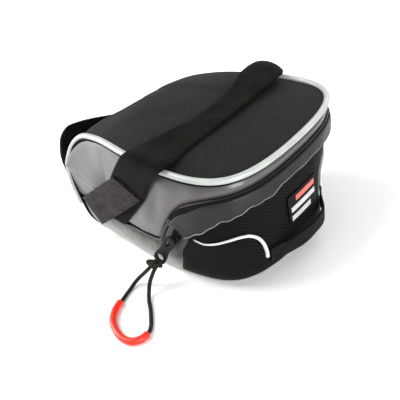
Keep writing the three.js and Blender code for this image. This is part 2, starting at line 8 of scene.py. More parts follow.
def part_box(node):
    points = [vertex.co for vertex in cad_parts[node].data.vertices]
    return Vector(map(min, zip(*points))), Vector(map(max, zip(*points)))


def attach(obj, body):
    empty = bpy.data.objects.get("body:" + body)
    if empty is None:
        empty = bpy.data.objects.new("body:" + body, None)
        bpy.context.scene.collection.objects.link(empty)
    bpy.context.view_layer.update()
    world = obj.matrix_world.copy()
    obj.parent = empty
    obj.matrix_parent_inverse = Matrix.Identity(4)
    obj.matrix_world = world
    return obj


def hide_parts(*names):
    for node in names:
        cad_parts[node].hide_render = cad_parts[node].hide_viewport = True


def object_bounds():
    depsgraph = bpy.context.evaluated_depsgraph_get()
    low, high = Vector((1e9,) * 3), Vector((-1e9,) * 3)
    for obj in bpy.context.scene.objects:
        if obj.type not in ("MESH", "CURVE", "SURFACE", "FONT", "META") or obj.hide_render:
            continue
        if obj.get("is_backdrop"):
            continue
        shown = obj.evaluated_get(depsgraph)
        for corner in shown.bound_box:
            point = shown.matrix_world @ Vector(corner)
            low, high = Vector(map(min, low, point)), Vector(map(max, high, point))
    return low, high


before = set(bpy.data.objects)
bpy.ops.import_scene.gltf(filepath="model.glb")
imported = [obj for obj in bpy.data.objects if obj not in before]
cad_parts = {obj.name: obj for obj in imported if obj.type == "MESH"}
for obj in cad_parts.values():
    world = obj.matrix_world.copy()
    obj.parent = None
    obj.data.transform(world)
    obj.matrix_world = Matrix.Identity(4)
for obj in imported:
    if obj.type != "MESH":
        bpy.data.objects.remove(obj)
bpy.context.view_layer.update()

# Sizes of the bag in millimetres, as its source gives them
BAG_LENGTH = 168.0
BAG_WIDTH = 126.0
BAG_HEIGHT = 81.0
FRONT_WIDTH = 74.0
TOP_CROWN = 7.0
TRIM_DIAMETER = 1.6
CORD_DIAMETER = 2.4
SLEEVE_DIAMETER = 4.2
LIGHT_STRAP_WIDTH = 9.5
LIGHT_STRAP_ARCH = 5.6
PANEL = 1.8
STRAP = 1.6
GAP = 0.3
ZIP_SLIT = 0.95

# Shares of the edge line: the top ends at the first, and the piping goes on down the front by the second
EDGE_SHARE = 0.8
PIPING_END = 0.62
# Places round the wall: its cloth ends at the first, at the front, and its rear curve at the second
FRONT_END = 0.982
REAR_STRETCH = 0.36
# Shares that draw the plan outline: the rear turn's part of the length, and the pull of the curves' handles
REAR_TURN = 0.24
REAR_PULL = 0.83
TURN_PULL = 0.72
SIDE_PULL = 0.42
FRONT_PULL = 0.3
FRONT_FLARE = 0.03

# The knot's place: along the bag and up as shares, across in millimetres
KNOT_ALONG = 0.405
KNOT_LEVEL = 0.2
KNOT_ACROSS = -70.5
KNOT_MIDDLE = np.array([BAG_LENGTH * (0.5 - KNOT_ALONG), KNOT_ACROSS, BAG_HEIGHT * KNOT_LEVEL])
MM = 0.001
low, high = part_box("pull_knot")
SHIFT = (np.array(low) + np.array(high)) / 2 / MM - KNOT_MIDDLE

# Wall at seven heights, in shares: height, rear, front, wide, corner
SECTIONS = np.array([
    (0.0, 0.09, 0.093, 0.79, 0.9),
    (0.03, 0.062, 0.074, 0.87, 0.97),
    (0.12, 0.04, 0.051, 0.935, 1.03),
    (0.31, 0.026, 0.0125, 0.965, 1.0),
    (0.5, 0.02, 0.0, 0.985, 0.98),
    (0.75, 0.016, 0.018, 0.985, 0.94),
    (1.0, 0.0226, 0.06, 0.973, 0.89),
])
# Edge of the top: along, height, crown
TOP_EDGE = np.array([
    (0.0, 0.905, 0.0), (0.22, 0.945, 0.8), (0.45, 0.99, 1.0), (0.57, 1.0, 0.95), (0.69, 0.99, 0.75),
    (0.81, 0.95, 0.3), (0.87, 0.915, 0.15), (0.925, 0.84, 0.12), (0.965, 0.73, 0.25), (1.0, 0.58, 0.45),
])
# Zip and lower edge of its flap: along, height
ZIP_LINE = np.array([
    (0.0, 0.79), (0.09, 0.79), (0.17, 0.766), (0.256, 0.7), (0.3, 0.63), (0.348, 0.51),
    (0.39, 0.388), (0.414, 0.322), (0.45, 0.3), (0.7, 0.295), (1.0, 0.28),
])
FLAP_EDGE = np.array([
    (0.0, 0.685), (0.04, 0.685), (0.104, 0.645), (0.178, 0.56), (0.235, 0.49), (0.28, 0.44),
])
# Front end of the ribbed rear wall: height, along
BAND_END = np.array([
    (0.0, 0.385), (0.15, 0.34), (0.3, 0.31), (0.39, 0.276), (0.5, 0.255), (0.7, 0.245),
])
# Thin trim on a side: along, height
TRIM_LINE = np.array([
    (0.234, 0.46), (0.219, 0.448), (0.195, 0.434), (0.157, 0.444), (0.123, 0.463), (0.083, 0.476),
    (0.069, 0.464), (0.058, 0.42), (0.0535, 0.352), (0.0545, 0.27), (0.058, 0.2),
])
# Light strap on the rear: around, height, lift
LIGHT_STRAP = np.array([
    (0.117, 0.206, 0), (0.1, 0.207, 0.05), (0.07, 0.21, 0.5), (0.035, 0.215, 0.95), (0, 0.215, 1),
    (-0.035, 0.215, 0.8), (-0.07, 0.21, 0.25), (-0.1, 0.207, 0), (-0.117, 0.206, 0),
])
# Zip tape past the end of the flap, where the slider is: along, height
ZIP_RUN = np.array([(0.385, 0.29), (0.355, 0.35), (0.33, 0.4), (0.305, 0.46), (0.28, 0.535)])

# Route of the pull cord and its sleeve, in millimetres
CORD_LEG_OUT = [
    (12.4, -72.2, 14.2), (7, -73, 9), (2.7, -74.2, 5), (0.6, -77, 2.4),
    (0.9, -82, 1.25), (2, -87, 1.25), (3.7, -93, 1.25),
]
CORD_SLEEVE = [
    (3.9, -93.6, 2.15), (6.4, -101, 2.15), (11.3, -108, 2.15), (18.9, -113.4, 2.15),
    (27.2, -116.5, 2.15), (33.6, -116, 2.15), (37.1, -112.3, 2.15), (37.9, -107.3, 2.15),
]
CORD_LEG_BACK = [
    (37.2, -105.4, 1.25), (34.6, -101.4, 1.25), (30.5, -96.5, 1.25), (25.1, -90.7, 1.25),
    (19.2, -85.2, 1.4), (16, -80.8, 3.6), (15.3, -77.5, 8), (16.1, -72.8, 13.3),
]


# Lines and surfaces of the bag, in millimetres
STEP = 0.01  # for slopes
HALVINGS = 24
EDGE_LEVEL = 0.6  # height, as a share, at which places along the edge are read


def unit(vectors):
    return vectors / np.maximum(np.linalg.norm(vectors, axis=-1, keepdims=True), 1e-9)


def blend(low, high, share):
    return low + (high - low) * share


def curve(rows, column, at):
    """Smooth value of a column at a place of the first column."""
    key, value = rows[:, 0], rows[:, column]
    last = len(key) - 1
    before, after = np.maximum(np.arange(last + 1) - 1, 0), np.minimum(np.arange(last + 1) + 1, last)
    slope = (value[after] - value[before]) / (key[after] - key[before])
    at = np.clip(at, key[0], key[-1])
    k = np.clip(np.searchsorted(key, at) - 1, 0, last - 1)
    span = key[k + 1] - key[k]
    t = (at - key[k]) / span
    ends = (2 * t**3 - 3 * t**2 + 1) * value[k] + (3 * t**2 - 2 * t**3) * value[k + 1]
    return ends + span * ((t**3 - 2 * t**2 + t) * slope[k] + (t**3 - t**2) * slope[k + 1])


def bezier(a, b, c, d, t):
    s = 1 - t
    return s**3 * a + 3 * s * s * t * b + 3 * s * t * t * c + t**3 * d


def outline(round_, z):
    """Plan outline at a height, from the rear centre at 0 to the front corner at 1."""
    level = z / BAG_HEIGHT
    rear = BAG_LENGTH * (0.5 - curve(SECTIONS, 1, level))
    front = BAG_LENGTH * (curve(SECTIONS, 2, level) - 0.5)
    wide = BAG_WIDTH / 2 * curve(SECTIONS, 3, level)
    corner = FRONT_WIDTH / 2 * curve(SECTIONS, 4, level)
    turn = REAR_TURN * BAG_LENGTH
    widest = rear - turn
    run = widest - front
    t = np.minimum(round_ / REAR_STRETCH, 1)
    s = np.maximum(round_ - REAR_STRETCH, 0) / (1 - REAR_STRETCH)
    x = np.where(
        round_ < REAR_STRETCH,
        bezier(rear, rear, widest + TURN_PULL * turn, widest, t),
        bezier(widest, widest - SIDE_PULL * run, front + FRONT_PULL * run, front, s),
    )
    y = np.where(
        round_ < REAR_STRETCH,
        bezier(0, REAR_PULL * wide, wide, wide, t),
        bezier(wide, wide, corner + FRONT_FLARE * run, corner, s),
    )
    return x, y


def wall(around, z):
    """Point of the wall: around is -1 at the far front corner, 0 at the rear and 1 at the near front corner."""
    around, z = np.broadcast_arrays(np.asarray(around, float), np.asarray(z, float))
    x, y = outline(np.abs(around), z)
    return np.stack([x, -np.sign(around) * y, z], -1)


def along_of(x):
    return 0.5 - x / BAG_LENGTH


def edge_height(round_):
    return BAG_HEIGHT * curve(TOP_EDGE, 1, along_of(outline(round_, EDGE_LEVEL * BAG_HEIGHT)[0]))


def zip_height(round_):
    return BAG_HEIGHT * curve(ZIP_LINE, 1, along_of(outline(round_, BAG_HEIGHT / 2)[0]))


def flap_height(round_):
    return BAG_HEIGHT * curve(FLAP_EDGE, 1, along_of(outline(round_, BAG_HEIGHT / 2)[0]))


def halved(test, low, high, shape):
    """Place between low and high where the test stops holding."""
    low, high = np.full(shape, float(low)), np.full(shape, float(high))
    for _ in range(HALVINGS):
        middle = (low + high) / 2
        inside = test(middle)
        low, high = np.where(inside, middle, low), np.where(inside, high, middle)
    return (low + high) / 2


def round_at(along, z):
    along, z = np.broadcast_arrays(np.asarray(along, float), np.asarray(z, float))
    x = BAG_LENGTH * (0.5 - along)
    return halved(lambda place: outline(place, z)[0] > x, 0, 1, x.shape)


def band_end(z):
    return round_at(curve(BAND_END, 1, z / BAG_HEIGHT), z)


def edge_line(share):
    """Edge of the top, from the rear end along the near side and down the front edge."""
    share = np.asarray(share, float)
    round_ = np.minimum(share / EDGE_SHARE, 1)
    down = np.maximum(share - EDGE_SHARE, 0) / (1 - EDGE_SHARE)
    return wall(round_, edge_height(round_) * (1 - down))


def cover(share, across, inset):
    """Crowned top and bowed front between the two edge lines."""
    share, across = np.broadcast_arrays(np.asarray(share, float), np.asarray(across, float))
    edge = edge_line(share)
    run = edge_line(np.minimum(share + STEP, 1)) - edge_line(np.maximum(share - STEP, 0))
    out = unit(np.stack([run[..., 2], np.zeros(share.shape), -run[..., 0]], -1))
    along = np.where(share > EDGE_SHARE, 1, along_of(edge[..., 0]))
    rise = TOP_CROWN * curve(TOP_EDGE, 2, along) * (1 - across**2)
    turn = unit(np.stack([run[..., 1], -run[..., 0]], -1))
    turn = np.where((share > EDGE_SHARE)[..., None], np.array([0.0, 1.0]), turn)
    y = np.maximum(-edge[..., 1] - inset * np.abs(turn[..., 1]), 0)
    base = np.stack([edge[..., 0] - inset * np.abs(turn[..., 0]), y * across, edge[..., 2]], -1)
    return base + out * rise[..., None]


def off_wall(around, z, distance):
    """Point that stands off the wall by a distance."""
    run = wall(around + STEP, z) - wall(around - STEP, z)
    rise = wall(around, z + STEP) - wall(around, z - STEP)
    return wall(around, z) - unit(np.cross(run, rise)) * np.asarray(distance)[..., None]


def through(points, at):
    """Smooth line through points, with at from 0 at the first to 1 at the last."""
    points, last = np.asarray(points, float), len(points) - 1
    place = np.clip(at, 0, 1) * last
    k = np.minimum(place.astype(int), last - 1)
    w = (place - k)[..., None]
    rows = np.vstack([2 * points[0] - points[1], points, 2 * points[-1] - points[-2]])
    a, b, c, d = (rows[k + i] for i in range(4))
    pairs = ((a, b), (b, c), (c, d))
    p, q, r = (np.maximum(((f - g) ** 2).sum(-1, keepdims=True), 1e-12) ** 0.25 for f, g in pairs)
    leave = ((b - a) / p - (c - a) / (p + q) + (c - b) / q) * q
    reach = ((c - b) / q - (d - b) / (q + r) + (d - c) / r) * q
    square = 3 * c - 3 * b - 2 * leave - reach
    cube = 2 * b - 2 * c + leave + reach
    return b + w * leave + w**2 * square + w**3 * cube


def even(line, count):
    """The same line with points at even distances."""
    length = np.concatenate([[0], np.cumsum(np.linalg.norm(np.diff(line, axis=0), axis=1))])
    at = np.linspace(0, length[-1], count)
    return np.stack([np.interp(at, length, line[:, k]) for k in range(3)], -1)


def waves(x, y, size, seed, count=7):
    """Uneven height between about -1 and 1: a few waves about size long, of seeded directions."""
    draw = np.random.default_rng(seed)
    total = 0
    for _ in range(count):
        angle = draw.uniform(0, 2 * math.pi)
        length = size * draw.uniform(0.7, 1.7)
        phase = draw.uniform(0, 6.3)
        total = total + np.sin((x * math.cos(angle) + y * math.sin(angle)) * 2 * math.pi / length + phase)
    return total / count**0.5 / 1.4


def near_to(value, middle, reach):
    """Smooth rise and fall, with 1 at the middle and little left beyond twice the reach."""
    return np.exp(-(((value - middle) / reach) ** 2))


def hollow(x, y, middle, reach, depth):
    """Oval hollow, or a swelling where its depth is above 0."""
    return depth * near_to(x, middle[0], reach[0]) * near_to(y, middle[1], reach[1])


def beside_line(x, y, start, end):
    """Share of the way from start to end, and distance off that line to its right."""
    (ax, ay), (bx, by) = start, end
    length = math.hypot(bx - ax, by - ay)
    ux, uy = (bx - ax) / length, (by - ay) / length
    share = ((x - ax) * ux + (y - ay) * uy) / length
    return share, (x - ax) * uy - (y - ay) * ux


def crease(x, y, start, end, width, depth):
    """Fold along a line: a ridge or a valley that fades at its two ends."""
    share, off = beside_line(x, y, start, end)
    fade = np.clip(1 - (2 * share - 1) ** 2, 0, 1) ** 0.7
    return depth * fade * near_to(off, 0, width)


def fold(x, y, start, end, above, below, depth):
    """Round crest in the cloth along a line: a gentle slope on its left side and a steep one on its right."""
    share, off = beside_line(x, y, start, end)
    fade = np.clip(1 - (2 * share - 1) ** 4, 0, 1)
    reach = np.where(off > 0, below, above)
    rounded_off = np.sqrt(off**2 + 0.8) - 0.9
    return depth * fade * np.exp(-(rounded_off / reach))


def roll(share, length, reach, drop):
    """Drop of a cloth edge that turns in towards its seam, at share 0 and 1 of a strip of some length."""
    near = np.minimum(share, 1 - share) * length
    return -drop * np.clip(1 - near / reach, 0, 1) ** 2


# Camera, at the place and angle of the photograph
CAMERA_PLACE = (0.2835, -0.2872, 0.2551)
IMAGE_RIGHT = Vector((0.7787, 0.5930, -0.2047))
IMAGE_UP = Vector((-0.1815, 0.5253, 0.8314))
FOCAL_LENGTH, SENSOR_WIDTH = 63.0, 36.0
lens = bpy.data.cameras.new("photo_camera")
lens.lens, lens.sensor_width = FOCAL_LENGTH, SENSOR_WIDTH
lens.dof.use_dof = False
lens.clip_start, lens.clip_end = 0.01, 20
camera = bpy.data.objects.new("photo_camera", lens)
back = IMAGE_RIGHT.cross(IMAGE_UP).normalized()
turned = Matrix((IMAGE_RIGHT.normalized(), back.cross(IMAGE_RIGHT).normalized(), back)).transposed()
camera.matrix_world = Matrix.Translation(CAMERA_PLACE) @ turned.to_4x4()
bpy.context.scene.collection.objects.link(camera)
bpy.context.scene.camera = camera


def ramp(value, start, stop):
    """Smooth rise from 0 at start to 1 at stop."""
    t = np.clip((value - start) / (stop - start), 0, 1)
    return t * t * (3 - 2 * t)


CORNER_LEAN, LEAN_X, LEAN_Y = 10.0, 0.57, 0.82
NECK_SAG, NECK_X, NECK_REACH = 3.2, -54, 17


def settled(points):
    """The empty bag's slack: its far rear corner leans in below the edge and the far side of its neck sags."""
    x, y, z = points.T
    lean = CORNER_LEAN * ramp(LEAN_X * x + LEAN_Y * y, 51, 79) * ramp(z, 73, 24) * blend(0.5, 1, ramp(z, 0, 12))
    sag = NECK_SAG * near_to(x, NECK_X, NECK_REACH) * ramp(y, 0, 32) * ramp(z, 42, 66)
    return points - np.stack([LEAN_X * lean, LEAN_Y * lean, sag], -1)


# Meshes
def mesh_object(name, points, faces, places, material, smooth_angle=50):
    """Object from points in millimetres, with a map of the cloth in millimetres."""
    mesh = bpy.data.meshes.new(name)
    mesh.from_pydata(((settled(points) + SHIFT) * MM).tolist(), [], faces)
    layer = mesh.uv_layers.new(name="cloth_mm")
    corner = np.empty(len(mesh.loops), dtype=np.int32)
    mesh.loops.foreach_get("vertex_index", corner)
    layer.uv.foreach_set("vector", places[corner].astype(np.float32).ravel())
    mesh.shade_smooth()
    mesh.set_sharp_from_angle(angle=math.radians(smooth_angle))
    mesh.materials.append(material)
    thing = bpy.data.objects.new(name, mesh)
    bpy.context.scene.collection.objects.link(thing)
    return thing


def lengths(grid):
    """Distances along and across a grid of points."""
    middle = grid[:, grid.shape[1] // 2]
    u = np.concatenate([[0], np.cumsum(np.linalg.norm(np.diff(middle, axis=0), axis=1))])
    steps = np.linalg.norm(np.diff(grid, axis=1), axis=2)
    v = np.concatenate([np.zeros((len(grid), 1)), np.cumsum(steps, axis=1)], axis=1)
    return np.stack([np.broadcast_to(u[:, None], v.shape), v], -1)


def facing(grid, towards=None):
    """Unit normals of a grid, away from the middle of the bag or along given directions."""
    normal = unit(np.cross(np.gradient(grid, axis=0), np.gradient(grid, axis=1)))
    if towards is None:
        towards = grid - np.array([0, 0, BAG_HEIGHT / 2])
    flip = (normal * towards).sum() < 0
    return -normal if flip else normal


def cloth(name, grid, relief, thickness, material, towards=None, smooth_angle=50, places=None):
    """Closed sheet: the grid raised by its relief, and the same grid a thickness below."""
    normal = facing(grid, towards)
    outer = grid + normal * np.asarray(relief)[..., None]
    inner = outer - normal * thickness
    rows, columns = grid.shape[:2]
    at = np.arange(rows * columns).reshape(rows, columns)
    below = at + rows * columns

    def quads(*corners):
        return np.stack(corners, -1).reshape(-1, 4)

    faces = np.concatenate([
        quads(at[:-1, :-1], at[1:, :-1], at[1:, 1:], at[:-1, 1:]),
        quads(below[:-1, :-1], below[:-1, 1:], below[1:, 1:], below[1:, :-1]),
        quads(at[:-1, 0], below[:-1, 0], below[1:, 0], at[1:, 0]),
        quads(at[:-1, -1], at[1:, -1], below[1:, -1], below[:-1, -1]),
        quads(at[0, :-1], at[0, 1:], below[0, 1:], below[0, :-1]),
        quads(at[-1, :-1], below[-1, :-1], below[-1, 1:], at[-1, 1:]),
    ])
    turned = (np.cross(np.gradient(grid, axis=0), np.gradient(grid, axis=1)) * normal).sum() < 0
    if turned:
        faces = faces[:, ::-1]
    places = (lengths(grid) if places is None else places).reshape(-1, 2)
    return mesh_object(
        name, np.concatenate([outer.reshape(-1, 3), inner.reshape(-1, 3)]), faces.tolist(),
        np.concatenate([places, places]), material, smooth_angle,
    )


def tube(name, line, radius, material, sides=14):
    """Closed round tube along a line, with a radius for each of its points."""
    line = np.asarray(line, float)
    radius = np.broadcast_to(np.asarray(radius, float), (len(line),))
    run = unit(np.gradient(line, axis=0))
    side = np.cross(run[0], (0, 0, 1) if abs(run[0][2]) < 0.9 else (1, 0, 0))
    rings, angles = [], np.linspace(0, 2 * math.pi, sides, endpoint=False)
    for point, ahead, r in zip(line, run, radius):
        side = unit(side - ahead * side.dot(ahead))
        up = np.cross(ahead, side)
        rings.append(point + r * (np.cos(angles)[:, None] * side + np.sin(angles)[:, None] * up))
    count = len(line)
    points = np.concatenate([np.concatenate(rings), line[:1], line[-1:]])
    faces = []
    for i in range(count - 1):
        for j in range(sides):
            k = (j + 1) % sides
            faces.append((i * sides + j, i * sides + k, (i + 1) * sides + k, (i + 1) * sides + j))
    first, last = count * sides, count * sides + 1
    for j in range(sides):
        k = (j + 1) % sides
        faces.append((first, k, j))
        faces.append((last, (count - 1) * sides + j, (count - 1) * sides + k))
    gone = np.concatenate([[0], np.cumsum(np.linalg.norm(np.diff(line, axis=0), axis=1))])
    girth = np.tile(angles, count) * np.repeat(radius, sides)
    places = np.stack([np.repeat(gone, sides), girth], -1)
    places = np.concatenate([places, [[gone[0], 0], [gone[-1], 0]]])
    return mesh_object(name, points, faces, places, material, 70)


def belongs(piece, slot, *nodes):
    """The piece rides on the bag and stands for its nodes, which it hides. Its slot is not used."""
    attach(piece, "root")
    if nodes:
        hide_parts(*nodes)
    return piece


# Materials
def linear(code):
    """Linear colour of an sRGB hex value."""
    parts = [int(code[k:k + 2], 16) / 255 for k in (1, 3, 5)]
    return tuple(c / 12.92 if c <= 0.04045 else ((c + 0.055) / 1.055) ** 2.4 for c in parts) + (1.0,)


def finish(name, **sockets):
    """New material with values on its shader's own sockets."""
    material = bpy.data.materials.new(name)
    material.use_nodes = True
    shader = material.node_tree.nodes["Principled BSDF"]
    for socket, value in sockets.items():
        shader.inputs[socket.replace("_", " ")].default_value = value
    return material, shader


def add(material, kind, settings=None, links=None):
    """Adds a node with its settings and links to it."""
    node = material.node_tree.nodes.new("ShaderNode" + kind)
    for name, value in (settings or {}).items():
        if isinstance(name, int) or name in node.inputs:
            node.inputs[name].default_value = value
        else:
            setattr(node, name, value)
    for name, source in (links or {}).items():
        material.node_tree.links.new(source, node.inputs[name])
    return node


def wire(material, source, target):
    material.node_tree.links.new(source, target)


def wave_scale(pitch):
    """Scale of a wave texture that repeats at a pitch in millimetres."""
    return 0.31416 / pitch


def spot_scale(size):
    """Scale of a noise or cell texture with spots of a size in millimetres."""
    return 1 / size


def colour_ramp(material, factor, *stops):
    node = add(material, "ValToRGB", links={"Fac": factor})
    places = node.color_ramp.elements
    while len(places) < len(stops):
        places.new(0.5)
    for place, (at, code) in zip(places, stops):
        place.position, place.color = at, linear(code)
    return node.outputs["Color"]


YARN_SHARE, WEAR_SHARE = 0.28, 0.55


# Woven polyester with a rib: matt near-black, fine parallel ridges that catch light on their flanks
def ribbed_polyester(name, pitch, turn, dark, light, gloss, depth):
    sheen = {"Sheen_Weight": 0.01, "Sheen_Roughness": 0.5}
    material, shader = finish(name, Roughness=0.7, Specular_IOR_Level=gloss, **sheen)
    place = add(material, "UVMap", {"uv_map": "cloth_mm"}).outputs["UV"]
    rotation = {"Rotation": (0, 0, math.radians(turn))}
    turned = add(material, "Mapping", rotation, {"Vector": place}).outputs["Vector"]
    bands = {"wave_type": "BANDS", "bands_direction": "X", "Scale": wave_scale(pitch), "Distortion": 0.5,
             "Detail": 1.0, "Detail Scale": 0.6}
    rib = add(material, "TexWave", bands, {"Vector": turned}).outputs["Fac"]
    across = dict(bands, bands_direction="Y", Scale=wave_scale(pitch * 0.7))
    yarn = add(material, "TexWave", across, {"Vector": turned}).outputs["Fac"]
    wear = {"Scale": spot_scale(16.667), "Detail": 3.0}
    wear_and_painted_light = add(material, "TexNoise", wear, {"Vector": place}).outputs["Fac"]
    weave = add(material, "Math", {"operation": "MULTIPLY_ADD", 1: YARN_SHARE}, {0: yarn, 2: rib}).outputs[0]
    shade = add(material, "Math", {"operation": "MULTIPLY_ADD", 1: WEAR_SHARE}, {0: wear_and_painted_light, 2: weave}).outputs[0]
    whole = 1 + YARN_SHARE + WEAR_SHARE
    even_shade = add(material, "Math", {"operation": "DIVIDE", 1: whole}, {0: shade}).outputs[0]
    wire(material, colour_ramp(material, even_shade, (0.15, dark), (0.85, light)), shader.inputs["Base Color"])
    bump = add(material, "Bump", {"Strength": depth, "Distance": 0.0003}, {"Height": weave})
    wire(material, bump.outputs["Normal"], shader.inputs["Normal"])
    return material


# Polyester under a smooth polyurethane coat: satin grey, broad soft highlights and a faint grain of the cloth
# below.
# Where a fade is given, in millimetres, it has painted floor light at its lower edge and painted shade up by
# its seam.
def coated_polyester(name, dark, light, rough, gloss=0.6, grain=0.1, fade=None):
    coat = {"Coat_Weight": gloss * 0.4, "Coat_Roughness": 0.22}
    material, shader = finish(name, Roughness=rough, Specular_IOR_Level=gloss, **coat)
    place = add(material, "UVMap", {"uv_map": "cloth_mm"}).outputs["UV"]
    clouds = {"Scale": spot_scale(22.222), "Detail": 4.0, "Roughness": 0.6}
    shade = add(material, "TexNoise", clouds, {"Vector": place}).outputs["Fac"]
    # Painted light and shade: by height up the cloth, paler low down as if lit by the floor, darker near the
    # top as if shaded by the seam
    if fade:
        up = add(material, "SeparateXYZ", links={"Vector": place}).outputs["Y"]
        wear_and_painted_light = add(material, "MapRange", {"From Max": fade, "To Min": 0.5, "To Max": -0.3}, {"Value": up})
        shade = add(material, "Math", {"operation": "ADD"}, {0: shade, 1: wear_and_painted_light.outputs["Result"]}).outputs[0]
    shades = colour_ramp(material, shade, (0.25, dark), (0.9 if fade else 0.7, light))
    wire(material, shades, shader.inputs["Base Color"])
    threads = {"Scale": spot_scale(0.625), "Detail": 3.0}
    fine = add(material, "TexNoise", threads, {"Vector": place}).outputs["Fac"]
    soft = add(material, "MapRange", {"To Min": rough - 0.05, "To Max": rough + 0.08}, {"Value": fine})
    wire(material, soft.outputs["Result"], shader.inputs["Roughness"])
    bump = add(material, "Bump", {"Strength": grain, "Distance": 0.0002}, {"Height": fine})
    wire(material, bump.outputs["Normal"], shader.inputs["Normal"])
    return material


# Reflective tape of glass beads on cloth: silver white with a fine sparkle-like grain and little gloss
def bead_tape(name, dark, light):
    material, shader = finish(name, Roughness=0.42, Metallic=0.15, Specular_IOR_Level=0.6)
    place = add(material, "UVMap", {"uv_map": "cloth_mm"}).outputs["UV"]
    beads = add(material, "TexVoronoi", {"Scale": spot_scale(0.625)}, {"Vector": place}).outputs["Distance"]
    clouds = {"Scale": spot_scale(8.333), "Detail": 3.0}
    cloud = add(material, "TexNoise", clouds, {"Vector": place}).outputs["Fac"]
    wire(material, colour_ramp(material, cloud, (0.35, dark), (0.65, light)), shader.inputs["Base Color"])
    bump = add(material, "Bump", {"Strength": 0.15, "Distance": 0.0002}, {"Height": beads})
    wire(material, bump.outputs["Normal"], shader.inputs["Normal"])
    return material


# Brushed loop tape: black nylon pile that scatters light at its edges
def loop_tape(name, dark, light):
    sheen = {"Sheen_Weight": 0.02, "Sheen_Roughness": 0.5}
    material, shader = finish(name, Roughness=0.9, Specular_IOR_Level=0.05, **sheen)
    place = add(material, "UVMap", {"uv_map": "cloth_mm"}).outputs["UV"]
    loops = {"Scale": spot_scale(0.909), "Detail": 6.0, "Roughness": 0.75}
    pile = add(material, "TexNoise", loops, {"Vector": place}).outputs["Fac"]
    clouds = {"Scale": spot_scale(11.111), "Detail": 2.0}
    cloud = add(material, "TexNoise", clouds, {"Vector": place}).outputs["Fac"]
    both = add(material, "Math", {"operation": "MULTIPLY"}, {0: pile, 1: cloud}).outputs[0]
    wire(material, colour_ramp(material, both, (0.12, dark), (0.4, light)), shader.inputs["Base Color"])
    bump = add(material, "Bump", {"Strength": 0.7, "Distance": 0.0006}, {"Height": pile})
    wire(material, bump.outputs["Normal"], shader.inputs["Normal"])
    return material


# Nylon webbing: rows of yarn across the band, a slight gloss on each
def nylon_webbing(name, pitch, dark, light, rough=0.6):
    sheen = {"Sheen_Weight": 0.01, "Sheen_Roughness": 0.5}
    material, shader = finish(name, Roughness=rough, Specular_IOR_Level=0.06, **sheen)
    place = add(material, "UVMap", {"uv_map": "cloth_mm"}).outputs["UV"]
    bands = {"wave_type": "BANDS", "bands_direction": "X", "Scale": wave_scale(pitch), "Distortion": 1.0,
             "Detail": 1.0, "Detail Scale": 1.2}
    weft = add(material, "TexWave", bands, {"Vector": place}).outputs["Fac"]
    along = dict(bands, bands_direction="Y", Scale=wave_scale(pitch * 1.1))
    warp = add(material, "TexWave", along, {"Vector": place}).outputs["Fac"]
    cloud = add(material, "TexNoise", {"Scale": spot_scale(5), "Detail": 3.0}, {"Vector": place}).outputs["Fac"]
    weave = add(material, "Math", {"operation": "MULTIPLY"}, {0: weft, 1: warp}).outputs[0]
    shade = add(material, "Math", {"operation": "MULTIPLY_ADD", 1: 0.6}, {0: weave, 2: cloud}).outputs[0]
    wire(material, colour_ramp(material, shade, (0.35, dark), (0.95, light)), shader.inputs["Base Color"])
    bump = add(material, "Bump", {"Strength": 0.5, "Distance": 0.0004}, {"Height": weave})
    wire(material, bump.outputs["Normal"], shader.inputs["Normal"])
    return material


# Braided elastic cord: two sets of yarns that cross on the slant
def braided_cord(name, dark, light):
    material, shader = finish(name, Roughness=0.7, Sheen_Weight=0.02, Specular_IOR_Level=0.15)
    place = add(material, "UVMap", {"uv_map": "cloth_mm"}).outputs["UV"]
    slants = []
    for angle in (40, -40):
        turned = add(material, "Mapping", {"Rotation": (0, 0, math.radians(angle))}, {"Vector": place})
        bands = {"wave_type": "BANDS", "bands_direction": "X", "Scale": wave_scale(0.9)}
        slants.append(add(material, "TexWave", bands, {"Vector": turned.outputs["Vector"]}).outputs["Fac"])
    braid = add(material, "Math", {"operation": "MAXIMUM"}, {0: slants[0], 1: slants[1]}).outputs[0]
    wire(material, colour_ramp(material, braid, (0.3, dark), (1.0, light)), shader.inputs["Base Color"])
    bump = add(material, "Bump", {"Strength": 0.5, "Distance": 0.0003}, {"Height": braid})
    wire(material, bump.outputs["Normal"], shader.inputs["Normal"])
    return material


# Soft moulded rubber, plastic or lacquered metal: even colour with slight blotches and fine scuffs
def moulded(name, dark, light, rough, **sockets):
    material, shader = finish(name, Roughness=rough, **sockets)
    place = add(material, "UVMap", {"uv_map": "cloth_mm"}).outputs["UV"]
    clouds = {"Scale": spot_scale(6.667), "Detail": 4.0}
    cloud = add(material, "TexNoise", clouds, {"Vector": place}).outputs["Fac"]
    wire(material, colour_ramp(material, cloud, (0.3, dark), (0.7, light)), shader.inputs["Base Color"])
    scuffs = {"Scale": spot_scale(0.4545), "Detail": 5.0, "Roughness": 0.7}
    scuff = add(material, "TexNoise", scuffs, {"Vector": place}).outputs["Fac"]
    soft = add(material, "MapRange", {"To Min": rough - 0.06, "To Max": rough + 0.12}, {"Value": scuff})
    wire(material, soft.outputs["Result"], shader.inputs["Roughness"])
    bump = add(material, "Bump", {"Strength": 0.08, "Distance": 0.0002}, {"Height": scuff})
    wire(material, bump.outputs["Normal"], shader.inputs["Normal"])
    return material


